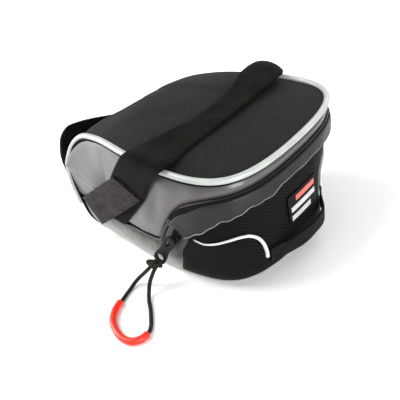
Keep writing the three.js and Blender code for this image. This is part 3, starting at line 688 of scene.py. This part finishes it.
top_cloth_finish = ribbed_polyester("ribbed_polyester_top", 1.35, 37, "#060607", "#201F21", 0.13, 0.45)
rear_cloth_finish = ribbed_polyester("ribbed_polyester_rear", 1.9, 122, "#030303", "#121112", 0.07, 0.3)
base_cloth_finish = ribbed_polyester("ribbed_polyester_base", 1.9, 90, "#030303", "#121112", 0.07, 0.3)
grey_coat = coated_polyester("coated_polyester_grey", "#3A3738", "#4D494A", 0.32, 0.6)
# Its fade paints floor light low on the lower panels and shade up under their seam
lower_coat = coated_polyester("coated_polyester_lower", "#232221", "#A6A49F", 0.38, 0.35, fade=27)
flap_coat = coated_polyester("coated_polyester_flap", "#100E0E", "#1D1A1A", 0.44, 0.25, 0.35)
silver_piping = bead_tape("bead_tape_piping", "#A3A7A3", "#B0B4B0")
coat_edge = bead_tape("coat_edge_line", "#5D595B", "#7A7678")
white_trim = bead_tape("bead_tape_trim", "#C4C7C3", "#DCDEDA")
black_pile = loop_tape("nylon_loop_tape", "#040403", "#16140F")
black_webbing = nylon_webbing("nylon_webbing_black", 1.2, "#080808", "#1C1B19")
hook_webbing = nylon_webbing("nylon_hook_tape", 1.5, "#020202", "#35302C", 0.6)
binding = nylon_webbing("polyester_binding", 0.9, "#050505", "#121212", 0.7)
cord_braid = braided_cord("braided_elastic_cord", "#0B0A07", "#25221A")
red_sleeve = moulded(
    "soft_red_silicone", "#D4200A", "#E23317", 0.33, Subsurface_Weight=0.15, Subsurface_Scale=0.002,
)
black_metal = moulded("lacquered_zinc_black", "#060606", "#0E0E0F", 0.34, Metallic=0.2, Specular_IOR_Level=0.3)
black_plastic = moulded("moulded_acetal_black", "#060606", "#0E0E0E", 0.42, Specular_IOR_Level=0.2)
zip_coil_finish = moulded("nylon_zip_coil", "#050505", "#0D0D0D", 0.45)


# Pull cord, its sleeve and its knot
CORD_ROWS, SLEEVE_ROWS = 150, 90
KNOT_START, KNOT_END = (14.4, -70.8, 16.9), (17.4, -71.2, 15.8)
INTO_SLEEVE, OUT_OF_SLEEVE = (3.3, -91.5, 1.4), (37.7, -107.2, 1.9)
SLEEVE_PINCH, PINCH_REACH, SLEEVE_UNEVEN = 0.22, 0.008, 0.05
BAR_HALF, BAR_DIP, BAR_TWIST, BAR_RADIUS = 5.0, 1.35, 0.5, 1.2
WRAP_LEAN, WRAP_DEPTH, WRAP_HEIGHT, WRAP_RADIUS = 0.9, 2.1, 1.9, 1.1
BAR_PLACE, WRAP_PLACE = KNOT_MIDDLE + (0, -0.3, 1.0), KNOT_MIDDLE + (-0.4, -0.3, 1.0)


def smooth_line(rows, count):
    return even(through(rows, np.linspace(0, 1, 60 * len(rows))), count)


cord_route = [KNOT_START, *CORD_LEG_OUT[:-1], INTO_SLEEVE, *CORD_SLEEVE[1:-1]]
cord_route = [*cord_route, OUT_OF_SLEEVE, *CORD_LEG_BACK[1:], KNOT_END]
cord_line = smooth_line(cord_route, CORD_ROWS)
pull_cord = belongs(
    tube("pull_cord", cord_line, CORD_DIAMETER / 2, cord_braid), "pull_cord", "pull_cord_out", "pull_cord_back",
)
gone = np.linspace(0, 1, SLEEVE_ROWS)
pinch = SLEEVE_PINCH * near_to(np.minimum(gone, 1 - gone), 0, PINCH_REACH)
sleeve_radius = SLEEVE_DIAMETER / 2 * (1 - pinch) + SLEEVE_UNEVEN * waves(gone * 40, gone * 0, size=9, seed=5)
pull_sleeve = belongs(
    tube("red_sleeve", smooth_line(CORD_SLEEVE, SLEEVE_ROWS), sleeve_radius, red_sleeve, sides=20),
    "sleeve_rubber", "pull_sleeve",
)

turns = np.linspace(0, 2 * math.pi, 121)
bar_along = BAR_HALF * (0.6 * np.cos(turns) ** 3 + 0.4 * np.cos(turns))
bar = np.stack([bar_along, -BAR_DIP * np.sin(turns), BAR_TWIST * np.sin(2 * turns)], -1)
pull_knot = belongs(
    tube("tied_knot", BAR_PLACE + bar, BAR_RADIUS, cord_braid, sides=12),
    "pull_cord", "pull_knot",
)
wrap = np.stack([
    WRAP_LEAN * np.sin(turns * 0.5 + 0.4), -WRAP_DEPTH * np.cos(turns), WRAP_HEIGHT * np.sin(turns),
], -1)
knot_wrap = belongs(
    tube("knot_wrap", WRAP_PLACE + wrap, WRAP_RADIUS, cord_braid, sides=12), "pull_cord",
)

# Top and front, one ribbed cloth between the piping, with the neck's hollow and the dents by the strap
TOP_SPAN, TOP_INSET = (0.012, 0.99), 0.5
TOP_ROWS, TOP_COLUMNS = 230, 97
NECK_HOLLOW = {"middle": (-62, 12), "reach": (20, 17), "depth": -5.0}
TOP_DENTS = [
    {"start": (-30, -40), "end": (18, -8), "width": 7.0, "depth": -0.8},
    {"start": (-64, -28), "end": (-30, 6), "width": 6.0, "depth": 0.7},
]
# The cloth rolls over the far edge: its height there, and where the roll begins and ends along and across
FAR_ROLL = 1.3
ROLL_FRONT, ROLL_REAR = (-84, -66), (26, 14)
ROLL_ACROSS, ROLL_EDGE = (14, 24), (-1, 3)
share = blend(*TOP_SPAN, np.linspace(0, 1, TOP_ROWS))[:, None]
across = np.sin(np.linspace(-1, 1, TOP_COLUMNS) * math.pi / 2)[None, :]
grid = cover(share, across, TOP_INSET)
x, y = grid[..., 0], grid[..., 1]
half = np.linalg.norm(grid[:, 0] - grid[:, -1], axis=-1)[:, None] / 2
tuck = roll((across + 1) / 2, 2 * half, reach=4.0, drop=1.2)
far_stretch = ramp(x, *ROLL_FRONT) * ramp(x, *ROLL_REAR)
far_roll = FAR_ROLL * far_stretch * ramp(across * half, *ROLL_ACROSS) * ramp(half - across * half, *ROLL_EDGE)
flatter = 1 - 0.8 * (far_roll > 0) * (across > 0)
relief = tuck * flatter + 0.5 * waves(x, y, size=46, seed=11) * (1 - across**4) + hollow(x, y, **NECK_HOLLOW)
relief = relief + sum(crease(x, y, **dent) for dent in TOP_DENTS) + far_roll
top_places = np.stack([lengths(grid)[..., 0], y], -1)
belongs(
    cloth("top_cloth", grid, relief, PANEL, top_cloth_finish, places=top_places), "ribbed_fabric", "top_panel",
)

# Coated upper panel round the sides and the rear: its folds show on the near side
UPPER_ROWS, UPPER_COLUMNS = 460, 37
EDGE_ROOM, UNDER_EDGE, EDGE_REACH = 1.0, 0.9, 8
FRONT_FOLD = {"start": (-92, 51), "end": (-34, 43.5), "above": 12, "below": 5.0, "depth": 4.2}
SIDE_CREASES = [
    {"start": (-78, 34), "end": (-52, 30), "width": 4.0, "depth": 0.8},
    {"start": (-30, 30), "end": (8, 62), "width": 5.0, "depth": -0.9},
    {"start": (-6, 27), "end": (18, 52), "width": 4.0, "depth": 0.7},
    {"start": (10, 74), "end": (44, 64), "width": 4.0, "depth": 0.6},
]
SIDE_HOLLOW = {"middle": (22, 0), "reach": (42, EDGE_REACH), "depth": -1.6}
around = blend(FRONT_END, -FRONT_END, np.linspace(0, 1, UPPER_ROWS))[:, None]
rise = np.linspace(0, 1, UPPER_COLUMNS)[None, :]
upper_low = zip_height(np.abs(around)) + ZIP_SLIT
upper_high = edge_height(np.abs(around)) - EDGE_ROOM
grid = wall(around, blend(upper_low, upper_high, rise))
place = lengths(grid)
x, z = grid[..., 0], grid[..., 2]
folds = fold(x, z, **FRONT_FOLD) + sum(crease(x, z, **row) for row in SIDE_CREASES)
folds = (folds + hollow(x, upper_high - z, **SIDE_HOLLOW)) * (grid[..., 1] < 0)
soft = 0.35 * waves(place[..., 0], place[..., 1] * 1.6, size=30, seed=3) * np.sin(rise * math.pi) ** 0.6
under_edge = -UNDER_EDGE * np.clip(1 - (upper_high - z) / EDGE_REACH, 0, 1) ** 2
relief = roll(rise, upper_high - upper_low, reach=4.5, drop=1.5) + soft + folds + under_edge
belongs(cloth("upper_cloth", grid, relief, PANEL, grey_coat), "coated_fabric", "upper_panel")

# Lower walls: two coated side panels and the ribbed rear one, which overlap a little at their seams
LAP = 0.0005
PASSES = 8


def lower_wall(name, start, end, rows, columns, material, slot, node, seed, swell):
    """Panel between two end lines, whose place depends on the height: a few passes find both together."""
    share, rise = np.linspace(0, 1, rows)[:, None], np.linspace(0, 1, columns)[None, :]
    around = blend(start(0 * share), end(0 * share), share)
    for _ in range(PASSES):
        z = rise * (zip_height(np.abs(around)) - ZIP_SLIT)
        around = blend(start(z), end(z), share)
    grid = wall(around, z)
    place = lengths(grid)
    width = place[-1, :, 0].max()
    height = place[:, -1, 1][:, None]
    relief = roll(rise + 0 * share, height, reach=4.0, drop=0.9)
    relief = relief + roll(share + 0 * rise, width, reach=3.0, drop=0.8)
    relief = relief + swell * waves(place[..., 0], place[..., 1], 34, seed) * np.sin(rise * math.pi) ** 0.5
    belongs(cloth(name, grid, relief, PANEL, material), slot, node)


lower_wall(
    "lower_cloth_near", lambda z: FRONT_END + 0 * z, lambda z: band_end(z) + LAP, 150, 40,
    lower_coat, "coated_fabric", "lower_side_panel_near", seed=21, swell=0.3,
)
lower_wall(
    "lower_cloth_far", lambda z: -FRONT_END + 0 * z, lambda z: -band_end(z) - LAP, 150, 40,
    lower_coat, "coated_fabric", "lower_side_panel_far", seed=22, swell=0.3,
)
lower_wall(
    "rear_cloth", lambda z: band_end(z) - LAP, lambda z: -band_end(z) + LAP, 300, 80,
    rear_cloth_finish, "ribbed_fabric", "rear_panel", seed=23, swell=0.45,
)

# Base
BASE_ROWS, BASE_COLUMNS, BASE_SPAN = 80, 40, (0.02, 0.995)
share, across = np.linspace(0, 1, BASE_ROWS)[:, None], np.linspace(-1, 1, BASE_COLUMNS)[None, :]
plan_x, plan_y = outline(blend(*BASE_SPAN, share), np.zeros_like(share))
grid = np.stack([plan_x + 0 * across, across * plan_y, 0 * share + 0 * across], -1)
belongs(
    cloth("base_cloth", grid, 0 * grid[..., 0], PANEL, base_cloth_finish, np.array([0, 0, -1.0])),
    "ribbed_fabric", "base_panel",
)

# Flap over the zip: places of its ends round the wall, the waves of its hem and how it stands off
FLAP_ROWS, FLAP_COLUMNS = 380, 22
FLAP_THICKNESS, HEM_RADIUS = 1.0, 0.32
FLAP_END_LOW, FLAP_END_HIGH = 0.368, 0.426
HEM_RISE, HEM_RISE_REACH = 2.2, 0.07
GAPE, GAPE_AT_SLIDER, GAPE_PLACE, GAPE_REACH = 0.6, 2.2, 0.35, 0.04
STAND, HEM_STAND = 1.2, 0.9
rise = np.linspace(0, 1, FLAP_COLUMNS)[None, :]
gone = np.linspace(0, 1, FLAP_ROWS)[:, None]
flap_end = blend(FLAP_END_LOW, FLAP_END_HIGH, rise**1.2)
around = blend(flap_end, -flap_end, gone)
round_ = np.abs(around)
hem_wave = 0.5 * np.sin(gone * 2 * math.pi * 7.3 + 0.6) + 0.35 * np.sin(gone * 2 * math.pi * 17 + 2)
flap_low = flap_height(round_) + hem_wave + HEM_RISE * near_to(round_, 0, HEM_RISE_REACH)
flap_high = zip_height(round_) - GAPE - GAPE_AT_SLIDER * near_to(round_, GAPE_PLACE, GAPE_REACH)
stand = STAND + HEM_STAND * np.sin((1 - rise) * math.pi / 2) ** 2
grid = off_wall(around, blend(flap_low, flap_high, rise), stand)
place = lengths(grid)
relief = 0.35 * waves(place[..., 0], place[..., 1], size=18, seed=31) * (1 - rise) ** 0.7
relief = relief + roll(rise, 16.0, reach=2.5, drop=0.9) * (rise > 0.5)
relief = relief + roll(gone + 0 * rise, 340.0, reach=2.0, drop=0.8)
hem_line = grid[:, 0] + facing(grid)[:, 0] * (relief[:, 0, None] + 0.05)
belongs(tube("flap_hem", even(hem_line, FLAP_ROWS), HEM_RADIUS, coat_edge, sides=8), "dark_coated_fabric")
belongs(cloth("zip_flap_cloth", grid, relief, FLAP_THICKNESS, flap_coat), "dark_coated_fabric", "zip_flap")

# Piping and its black welt, both round the top edge and down the front: the welt closes the seam, and its black
# is painted shade, the dark of the seam's tuck along both sides of the piping
PIPING_ROWS, PIPING_RADIUS = 620, 1.85
WELT_END, WELT_DOWN, WELT_IN = 0.995, 1.3, 0.5
WELT_RADIUS, WELT_RADIUS_FRONT = 2.0, 1.05
WELT_NARROWS = (0.74, 0.84)
FAR_DROP, DROP_REAR = 2.4, (30, 12)


def whole_edge(end):
    """Edge line from the near front over the rear to the far front, with its two ends at a share of it."""
    side = np.linspace(1, -1, 400)
    line = edge_line(np.abs(side) * end)
    line[:, 1] *= np.sign(side)
    return line


def far_drop(line):
    """Drop of the far edge's piping behind the swelling cloth of the top."""
    return FAR_DROP * ramp(line[:, 0], *ROLL_FRONT) * ramp(line[:, 0], *DROP_REAR) * (line[:, 1] > 0)


edge = whole_edge(EDGE_SHARE + (1 - EDGE_SHARE) * PIPING_END)
edge[:, 2] -= far_drop(edge)
piping_radius = PIPING_RADIUS + 0.05 * waves(np.arange(PIPING_ROWS) * 1.0, 0, size=40, seed=8)
belongs(
    tube("silver_piping", even(edge, PIPING_ROWS), piping_radius, silver_piping, sides=16),
    "reflective_piping", "edge_piping",
)
edge = whole_edge(WELT_END)
wall_middle = edge * np.array([0.75, 1.0, 0.0]) + np.array([0, 0, BAG_HEIGHT * 0.5])
downward = unit(wall_middle - edge)
inward = unit(np.array([0, 0, BAG_HEIGHT * 0.45]) - edge)
welt_and_shadow_line = even(edge + downward * WELT_DOWN + inward * WELT_IN, PIPING_ROWS)
welt_and_shadow_line[:, 2] -= far_drop(welt_and_shadow_line)
at_front = ramp(np.abs(np.linspace(-1, 1, PIPING_ROWS)), *WELT_NARROWS)
welt_and_shadow_radius = blend(WELT_RADIUS, WELT_RADIUS_FRONT, at_front)
# The welt's black paints the shadow of the tuck along both sides of the piping
belongs(tube("piping_welt_and_shadow", welt_and_shadow_line, welt_and_shadow_radius, binding, sides=14), "ribbed_fabric")

# Welt round the base
BASE_WELT_END, BASE_WELT_HEIGHT, BASE_WELT_RADIUS = 0.985, 1.5, 1.1
base_edge = wall(np.linspace(BASE_WELT_END, -BASE_WELT_END, 400), np.full(400, BASE_WELT_HEIGHT))
belongs(tube("base_welt", base_edge, BASE_WELT_RADIUS, lower_coat, sides=10), "coated_fabric")

# Thin trims, which widen towards the rear and end round
TRIM_RADIUS_FRONT, TRIM_RADIUS_REAR, TRIM_ROUNDING = 0.42, 1.25, 0.02
TRIM_ROWS = 160
for side, name in ((1, "near"), (-1, "far")):
    z = TRIM_LINE[:, 1] * BAG_HEIGHT
    rows = off_wall(side * round_at(TRIM_LINE[:, 0], z), z, np.full(len(z), TRIM_DIAMETER / 2 + GAP))
    line = even(through(rows, np.linspace(0, 1, 300)), TRIM_ROWS)
    gone = np.linspace(0, 1, TRIM_ROWS)
    rounding = np.clip(np.minimum(gone, 1 - gone) / TRIM_ROUNDING, 0.25, 1)
    radius = blend(TRIM_RADIUS_FRONT, TRIM_RADIUS_REAR, gone) * rounding
    belongs(tube("white_trim_" + name, line, radius, white_trim, sides=12), "reflective_piping", "trim_" + name)


# Straps
def turned_down(over, curl=0.25):
    """Relief of a band whose two edges turn down, at places across it from -1 to 1."""
    return -curl * np.clip(np.abs(over) - 0.75, 0, 1) ** 2 * 16


def strap(name, points, outs, width, thickness, rows, columns, material, relief=None, curl=0.25):
    """Flat band along a line through stations, its edges turned down a little."""
    at = np.linspace(0, 1, rows)
    middle, out = through(points, at), unit(through(outs, at))
    side = unit(np.cross(unit(np.gradient(middle, axis=0)), out))
    over = np.linspace(-1, 1, columns)[None, :]
    grid = middle[:, None] + side[:, None] * over[..., None] / 2 * width
    bend = turned_down(over, curl) * np.ones((rows, 1))
    if relief is not None:
        bend = bend + relief(lengths(grid))
    return cloth(name, grid, bend, thickness, material, np.broadcast_to(out[:, None], grid.shape), 60)


def off_side(rows, side=1):
    """Points that stand off the near side wall, or the far one, from rows of x, height and distance."""
    x, z, away = np.array(rows, float).T
    return off_wall(side * round_at(along_of(x), z), z, away)


def over_edge(x, away, side=1):
    """Point over the piped edge at a place x."""
    share = halved(lambda place: edge_line(place)[..., 0] > x, 0, EDGE_SHARE, (1,))
    return (edge_line(share) + np.array([0, -0.6, 0.8]) * away) * np.array([1, side, 1])


def strap_between(name, front, rear, rows, columns, material, relief):
    """Flat band between its two edge lines."""
    at = np.linspace(0, 1, rows)
    front, rear = even(through(front, at), rows), even(through(rear, at), rows)
    over = np.linspace(0, 1, columns)[None, :]
    grid = blend(front[:, None], rear[:, None], over[..., None])
    bend = turned_down(over * 2 - 1) * np.ones((rows, 1)) + relief(lengths(grid), grid)
    return cloth(name, grid, bend, STRAP, material, smooth_angle=60)


def uneven(height, size, seed):
    """Relief of uneven cloth for a strap."""
    return lambda place, grid=None: height * waves(place[..., 0], place[..., 1], size, seed)


# Rail strap: its edge towards the seat post and its edge towards the rear, each up the near side, over the top
# and down the far side
RAIL_FRONT_UP = [
    (-50, 24.6, 2.1), (-42, 34, 2.2), (-34, 43, 2.3), (-26, 52.5, 2.5), (-16.5, 62.5, 3.2), (-5, 73, 4.7),
]
RAIL_REAR_UP = [
    (-21, 24.6, 2.1), (-12, 33, 2.2), (-1, 43, 2.4), (11.6, 54.7, 2.8), (20.5, 66.5, 3.6), (29, 75, 5.0),
]
RAIL_FRONT_OVER = [
    (6.8, -49.9, 84.2), (16.2, -35.4, 86.3), (24.3, -12.1, 87.6), (25, 15.9, 89.1), (20.9, 35.6, 91.6),
    (19.5, 43.5, 91.2), (17.5, 51, 89.6),
]
RAIL_REAR_OVER = [
    (37, -44.2, 82.5), (39.8, -23.2, 85), (42, 0, 86.6), (42.8, 16, 87), (43, 30, 87.8), (42.5, 43, 87.3),
    (40.6, 53, 86),
]
RAIL_FRONT_DOWN = [(10.5, 66, 3.0), (9.5, 54, 2.3), (8.5, 40, 2.2), (8, 25, 2.1)]
RAIL_REAR_DOWN = [(30, 66, 3.0), (29.5, 54, 2.3), (28.5, 40, 2.2), (28, 25, 2.1)]
FAR_ARCH, ARCH_PLACE, ARCH_REACH, ARCH_ABOVE = 3.8, 54, 14, 40
rail_uneven = uneven(0.3, 22, 41)


def cupped(place, grid):
    """Uneven cloth that arches across its width where it turns down over the far edge."""
    over = np.linspace(-1, 1, grid.shape[1])[None, :]
    arch = FAR_ARCH * near_to(grid[..., 1], ARCH_PLACE, ARCH_REACH) * (1 - over**2)
    return rail_uneven(place) + arch * (grid[..., 2] > ARCH_ABOVE)


rail_front = np.vstack([
    off_side(RAIL_FRONT_UP), over_edge(5.5, 5.4), RAIL_FRONT_OVER,
    over_edge(12.5, 5.0, -1), off_side(RAIL_FRONT_DOWN, -1),
])
rail_rear = np.vstack([
    off_side(RAIL_REAR_UP), over_edge(36, 5.4), RAIL_REAR_OVER,
    over_edge(32.5, 4.0, -1), off_side(RAIL_REAR_DOWN, -1),
])
belongs(
    strap_between("rail_loop_strap", rail_front, rail_rear, 340, 24, black_pile, cupped),
    "loop_strap", "rail_strap",
)

# Seat post loop, from the near front corner round to the far wall: its upper edge and its lower one
LOOP_UPPER = [
    (-84, -34, 34), (-95, -31, 40), (-98, -29.5, 47), (-105, -22.5, 51), (-107.5, -17.5, 55.5),
    (-107.5, -9.5, 59.8), (-104.5, 0, 59.5), (-101.5, 10, 57.5), (-100, 20, 54.4), (-97, 30.5, 51),
    (-89, 39, 46.5), (-78, 42.6, 44),
]
LOOP_LOWER = [
    (-82.5, -33, 12), (-92, -31, 16), (-97, -28, 22), (-102, -22, 27), (-104.5, -16.5, 31),
    (-105.5, -8.5, 34.6), (-103.5, 0, 34.5), (-101, 10, 32.5), (-99, 20, 29.4), (-96, 30, 26.5),
    (-88, 38.6, 22), (-77, 42.4, 19.5),
]
loop_upper = np.vstack([LOOP_UPPER, off_side([(-66, 43.4, 2.2), (-54, 43, 1.8)], -1)])
loop_lower = np.vstack([LOOP_LOWER, off_side([(-66, 19, 2.2), (-54, 18.6, 1.8)], -1)])
belongs(
    strap_between("seat_post_loop", loop_upper, loop_lower, 220, 20, black_webbing, uneven(0.25, 20, 42)),
    "webbing", "post_loop",
)

# Hook tab of the seat post loop, over the rail strap's near end
TAB_UPPER = [(-10.7, 64.2, 5.2), (-30, 52.2, 5), (-50, 39.8, 4.8), (-67.2, 29.1, 4.6), (-71, 26.8, 2.0)]
TAB_LOWER = [(12.5, 56.5, 4.6), (-10, 40.6, 4.6), (-30, 27.4, 4.6), (-52.4, 12.5, 4.4), (-56.5, 9.8, 2.0)]
tab_edges = off_side(TAB_UPPER), off_side(TAB_LOWER)
belongs(
    strap_between("seat_post_tab", *tab_edges, 150, 40, hook_webbing, uneven(0.3, 24, 43)),
    "hook_tab", "post_tab",
)

# Light strap
z = LIGHT_STRAP[:, 1] * BAG_HEIGHT
points = off_wall(LIGHT_STRAP[:, 0], z, 2 * GAP + STRAP + LIGHT_STRAP[:, 2] * LIGHT_STRAP_ARCH)
outs = unit(points - wall(LIGHT_STRAP[:, 0], z))
light_uneven = uneven(0.12, 14, 44)
belongs(
    strap("light_clip_strap", points, outs, LIGHT_STRAP_WIDTH, STRAP, 140, 14, black_webbing, light_uneven),
    "webbing", "light_strap",
)


# Patch on the rear wall: a dark film with three plain bars of unequal length
def film(name, heights, places, away, thick, material, *nodes):
    around = blend(*places, np.linspace(0, 1, 40))[:, None]
    level = BAG_HEIGHT * blend(*heights, np.linspace(0, 1, 24))[None, :]
    grid = off_wall(around + 0 * level, level + 0 * around, np.full((40, 24), away))
    belongs(cloth(name, grid, 0 * grid[..., 0], thick, material), "reflective_patch", *nodes)


FILM, FILM_BAR, BAR_STAND = 0.6, 0.3, 0.85
film_black = moulded("film_black", "#040404", "#090909", 0.5, Specular_IOR_Level=0.12)
film_silver = bead_tape("film_silver", "#B9B7B5", "#CBC9C6")
film_coral = bead_tape("film_coral", "#C8584F", "#D96A5F")
film("rear_film_patch", (0.32, 0.55), (0.05, -0.025), GAP + FILM, FILM, film_black, "rear_patch")
for name, heights, places, material in (
    ("film_bar_low", (0.345, 0.385), (0.044, -0.006), film_silver),
    ("film_bar_middle", (0.415, 0.455), (0.044, -0.019), film_silver),
    ("film_bar_high", (0.485, 0.525), (0.03, -0.019), film_coral),
):
    film(name, heights, places, GAP + BAR_STAND, FILM_BAR, material)

# Zip: coil in the slit between the panels, a black tape below it whose black also paints the shade in the
# flap's gape, and the wider tape past the flap's end
COIL_ROWS, COIL_RADIUS, COIL_TEETH, COIL_DEPTH = 360, 1.15, 0.12, 0.6
TAPE_END, TAPE_BELOW, TAPE_OFF, TAPE_WIDTH = 0.402, 1.7, 0.75, 4.6
SEAM_SHADE_TAPE, WIDE_TAPE = 0.5, 0.6
TAPE_NARROW, TAPE_WIDE, TAPE_WIDENS = 1.6, 6, (0.36, 0.58)
around = np.linspace(FRONT_END - 0.01, 0.01 - FRONT_END, COIL_ROWS)
coil_line = off_wall(around, zip_height(np.abs(around)), np.full(COIL_ROWS, -COIL_DEPTH))
coil_radius = COIL_RADIUS + COIL_TEETH * np.sin(np.arange(COIL_ROWS) * math.pi)
belongs(tube("zip_coil", coil_line, coil_radius, zip_coil_finish, sides=10), "zip_tape")
# Black band under the flap's top: a zip tape, which also paints the shade seen in the gape between the flap and
# the upper panel
around = np.linspace(TAPE_END, -TAPE_END, 200)
tape_height = zip_height(np.abs(around)) - TAPE_BELOW
seam_tape_and_shade = off_wall(around, tape_height, np.full(200, TAPE_OFF))
tape_outs = unit(seam_tape_and_shade - wall(around, tape_height))
belongs(
    strap("zip_seam_tape_and_shade", seam_tape_and_shade, tape_outs, TAPE_WIDTH, SEAM_SHADE_TAPE, 360, 8, binding, curl=0), "zip_tape",
)
z = ZIP_RUN[:, 1] * BAG_HEIGHT
zip_round = round_at(ZIP_RUN[:, 0], z)
zip_points = off_wall(zip_round, z, np.full(len(z), GAP + WIDE_TAPE))
zip_outs = unit(zip_points - wall(zip_round, z))
tape_width = blend(TAPE_NARROW, TAPE_WIDE, ramp(np.linspace(0, 1, 60), *TAPE_WIDENS))[:, None, None]
belongs(
    strap("zip_tape_cloth", zip_points, zip_outs, tape_width, WIDE_TAPE, 60, 10, binding, curl=0),
    "zip_tape", "zip_tape",
)


# Slider
def plate(name, outlines, depth, bevel, matrix, material):
    """Flat plate with holes and rounded edges, from outlines in millimetres."""
    shape = bpy.data.curves.new(name, "CURVE")
    shape.dimensions, shape.fill_mode = "2D", "BOTH"
    shape.extrude, shape.bevel_depth, shape.bevel_resolution = depth / 2 - bevel, bevel, 3
    for points in outlines:
        spline = shape.splines.new("POLY")
        spline.points.add(len(points) - 1)
        spline.use_cyclic_u = True
        for slot, (x, y) in zip(spline.points, points):
            slot.co = (x, y, 0, 1)
    drawn = bpy.data.objects.new(name + "_drawn", shape)
    bpy.context.scene.collection.objects.link(drawn)
    mesh = bpy.data.meshes.new_from_object(drawn)
    bpy.data.objects.remove(drawn)
    bpy.data.curves.remove(shape)
    points = np.array([matrix @ v.co for v in mesh.vertices])
    flat = np.array([v.co[:2] for v in mesh.vertices])
    faces = [tuple(face.vertices) for face in mesh.polygons]
    bpy.data.meshes.remove(mesh)
    return mesh_object(name, points, faces, flat, material, 40)


def rounded(length, width, radius, steps=8):
    corners = []
    for cx, cy, start in ((1, -1, -90), (1, 1, 0), (-1, 1, 90), (-1, -1, 180)):
        for k in range(steps + 1):
            angle = math.radians(start + 90 * k / steps)
            corners.append((
                cx * (length / 2 - radius) + radius * math.cos(angle),
                cy * (width / 2 - radius) + radius * math.sin(angle),
            ))
    return corners


def oval(middle, length, width, steps=28):
    return [
        (middle + length / 2 * math.cos(2 * math.pi * k / steps), width / 2 * math.sin(2 * math.pi * k / steps))
        for k in range(steps)
    ]


def frame_matrix(run, side, out, place):
    matrix = Matrix((Vector(run), Vector(side), Vector(out))).transposed().to_4x4()
    matrix.translation = Vector(place)
    return matrix


SLIDER_PLACE, SLIDER_BEVEL = 0.55, 0.35
middle = through(zip_points, SLIDER_PLACE + np.array([-0.02, 0, 0.02]))
slide_out = zip_outs[2]
run = unit(middle[2] - middle[0])
run = unit(run - slide_out * run.dot(slide_out))
slide_side = np.cross(slide_out, run)
for name, size, lift, thick, nodes in (
    ("slider_body_plate", (8.4, 5.6, 2.2), 0.7, 1.0, ["zip_slider"]),
    ("slider_bridge", (6.0, 2.2, 1.0), 2.0, 1.3, []),
):
    placed = frame_matrix(run, slide_side, slide_out, middle[1] + slide_out * (GAP + lift))
    belongs(plate(name, [rounded(*size)], thick, SLIDER_BEVEL, placed, black_metal), "slider_metal", *nodes)

# Puller: its two ends as shares of the bag, half its length and its half width from its ring to its tip
RING_ALONG, RING_LEVEL = 0.311, 0.455
TIP_ALONG, TIP_LEVEL = 0.417, 0.178
PULLER_HALF, PULLER_THICKNESS, PULLER_BEVEL = 13, 1.4, 0.4
PULLER_SIDE = [
    (-13.0, 0.0), (-12.6, 1.5), (-11.4, 2.7), (-9.0, 3.4), (-6.0, 3.4), (-2.5, 2.9), (0.5, 2.8), (3.5, 3.2),
    (6.5, 3.7), (10.5, 3.75), (12.2, 3.1), (12.9, 1.8), (13.0, 0.0),
]
RING_HOLE = {"middle": -7.4, "length": 7.0, "width": 3.6}
TIP_MIDDLE, TIP_LENGTH, TIP_LONGER_BACK, TIP_WIDTH, TIP_TAPER = 8.6, 2.9, 1.15, 2.6, 0.12
puller_low, puller_high = (np.array(corner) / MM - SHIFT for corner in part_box("zip_puller"))
ring_place = np.array([BAG_LENGTH * (0.5 - RING_ALONG), 0, BAG_HEIGHT * RING_LEVEL])
tip_place = np.array([BAG_LENGTH * (0.5 - TIP_ALONG), 0, BAG_HEIGHT * TIP_LEVEL])
run = unit(tip_place - ring_place)
out = np.array([0, -1.0, 0])
centre = ring_place + run * PULLER_HALF
centre[1] = (puller_low[1] + puller_high[1]) / 2
rim = through(np.array([(x, y, 0) for x, y in PULLER_SIDE]), np.linspace(0, 1, 60))[:, :2]
rim = [tuple(point) for point in rim] + [(x, -y) for x, y in rim[-2:0:-1]]
tip_hole = []
for angle in np.linspace(0, 2 * math.pi, 32, endpoint=False):
    ahead = TIP_LENGTH * math.cos(angle) * (1 if math.cos(angle) > 0 else TIP_LONGER_BACK)
    tip_hole.append((TIP_MIDDLE + ahead, TIP_WIDTH * math.sin(angle) * (1 - TIP_TAPER * math.cos(angle))))
placed = frame_matrix(run, np.cross(out, run), out, centre)
outlines = [rim, oval(**RING_HOLE), tip_hole]
belongs(
    plate("puller_plate", outlines, PULLER_THICKNESS, PULLER_BEVEL, placed, black_plastic),
    "puller_plastic", "zip_puller",
)

# Floor and light
FLOOR_HALF = 6
STUDIO_STRENGTH = 0.72
LIGHTS_AIM = (0, 0, 0.04)
floor_mesh = bpy.data.meshes.new("floor")
floor_corners = [(x * FLOOR_HALF, y * FLOOR_HALF, 0) for x, y in ((-1, -1), (1, -1), (1, 1), (-1, 1))]
floor_mesh.from_pydata(floor_corners, [], [(0, 1, 2, 3)])
floor_finish, shader = finish("matt_white_card", Roughness=0.9, Specular_IOR_Level=0.1)
shader.inputs["Base Color"].default_value = linear("#F6F6F6")
floor_mesh.materials.append(floor_finish)
floor = bpy.data.objects.new("floor", floor_mesh)
bpy.context.scene.collection.objects.link(floor)
floor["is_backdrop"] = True

world = bpy.data.worlds.new("studio")
world.use_nodes = True
background = world.node_tree.nodes["Background"]
background.inputs["Color"].default_value = (1.0, 1.0, 1.0, 1.0)
background.inputs["Strength"].default_value = STUDIO_STRENGTH
bpy.context.scene.world = world


def soft_light(name, place, size, power):
    data = bpy.data.lights.new(name, "AREA")
    data.shape, data.size, data.energy = "DISK", size, power
    lamp = bpy.data.objects.new(name, data)
    lamp.location = place
    lamp.rotation_euler = (Vector(LIGHTS_AIM) - Vector(place)).to_track_quat("-Z", "Y").to_euler()
    bpy.context.scene.collection.objects.link(lamp)


soft_light("key", (-0.5, -0.35, 1.0), 0.6, 8)
soft_light("left", (-0.9, -0.3, 0.35), 0.5, 7)
soft_light("right", (0.8, -0.3, 0.25), 0.5, 6)
soft_light("rim", (0.1, 0.9, 0.7), 0.9, 4)

view = bpy.context.scene.view_settings
view.view_transform, view.look, view.exposure, view.gamma = "Standard", "None", 0.0, 1.0

low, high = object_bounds()
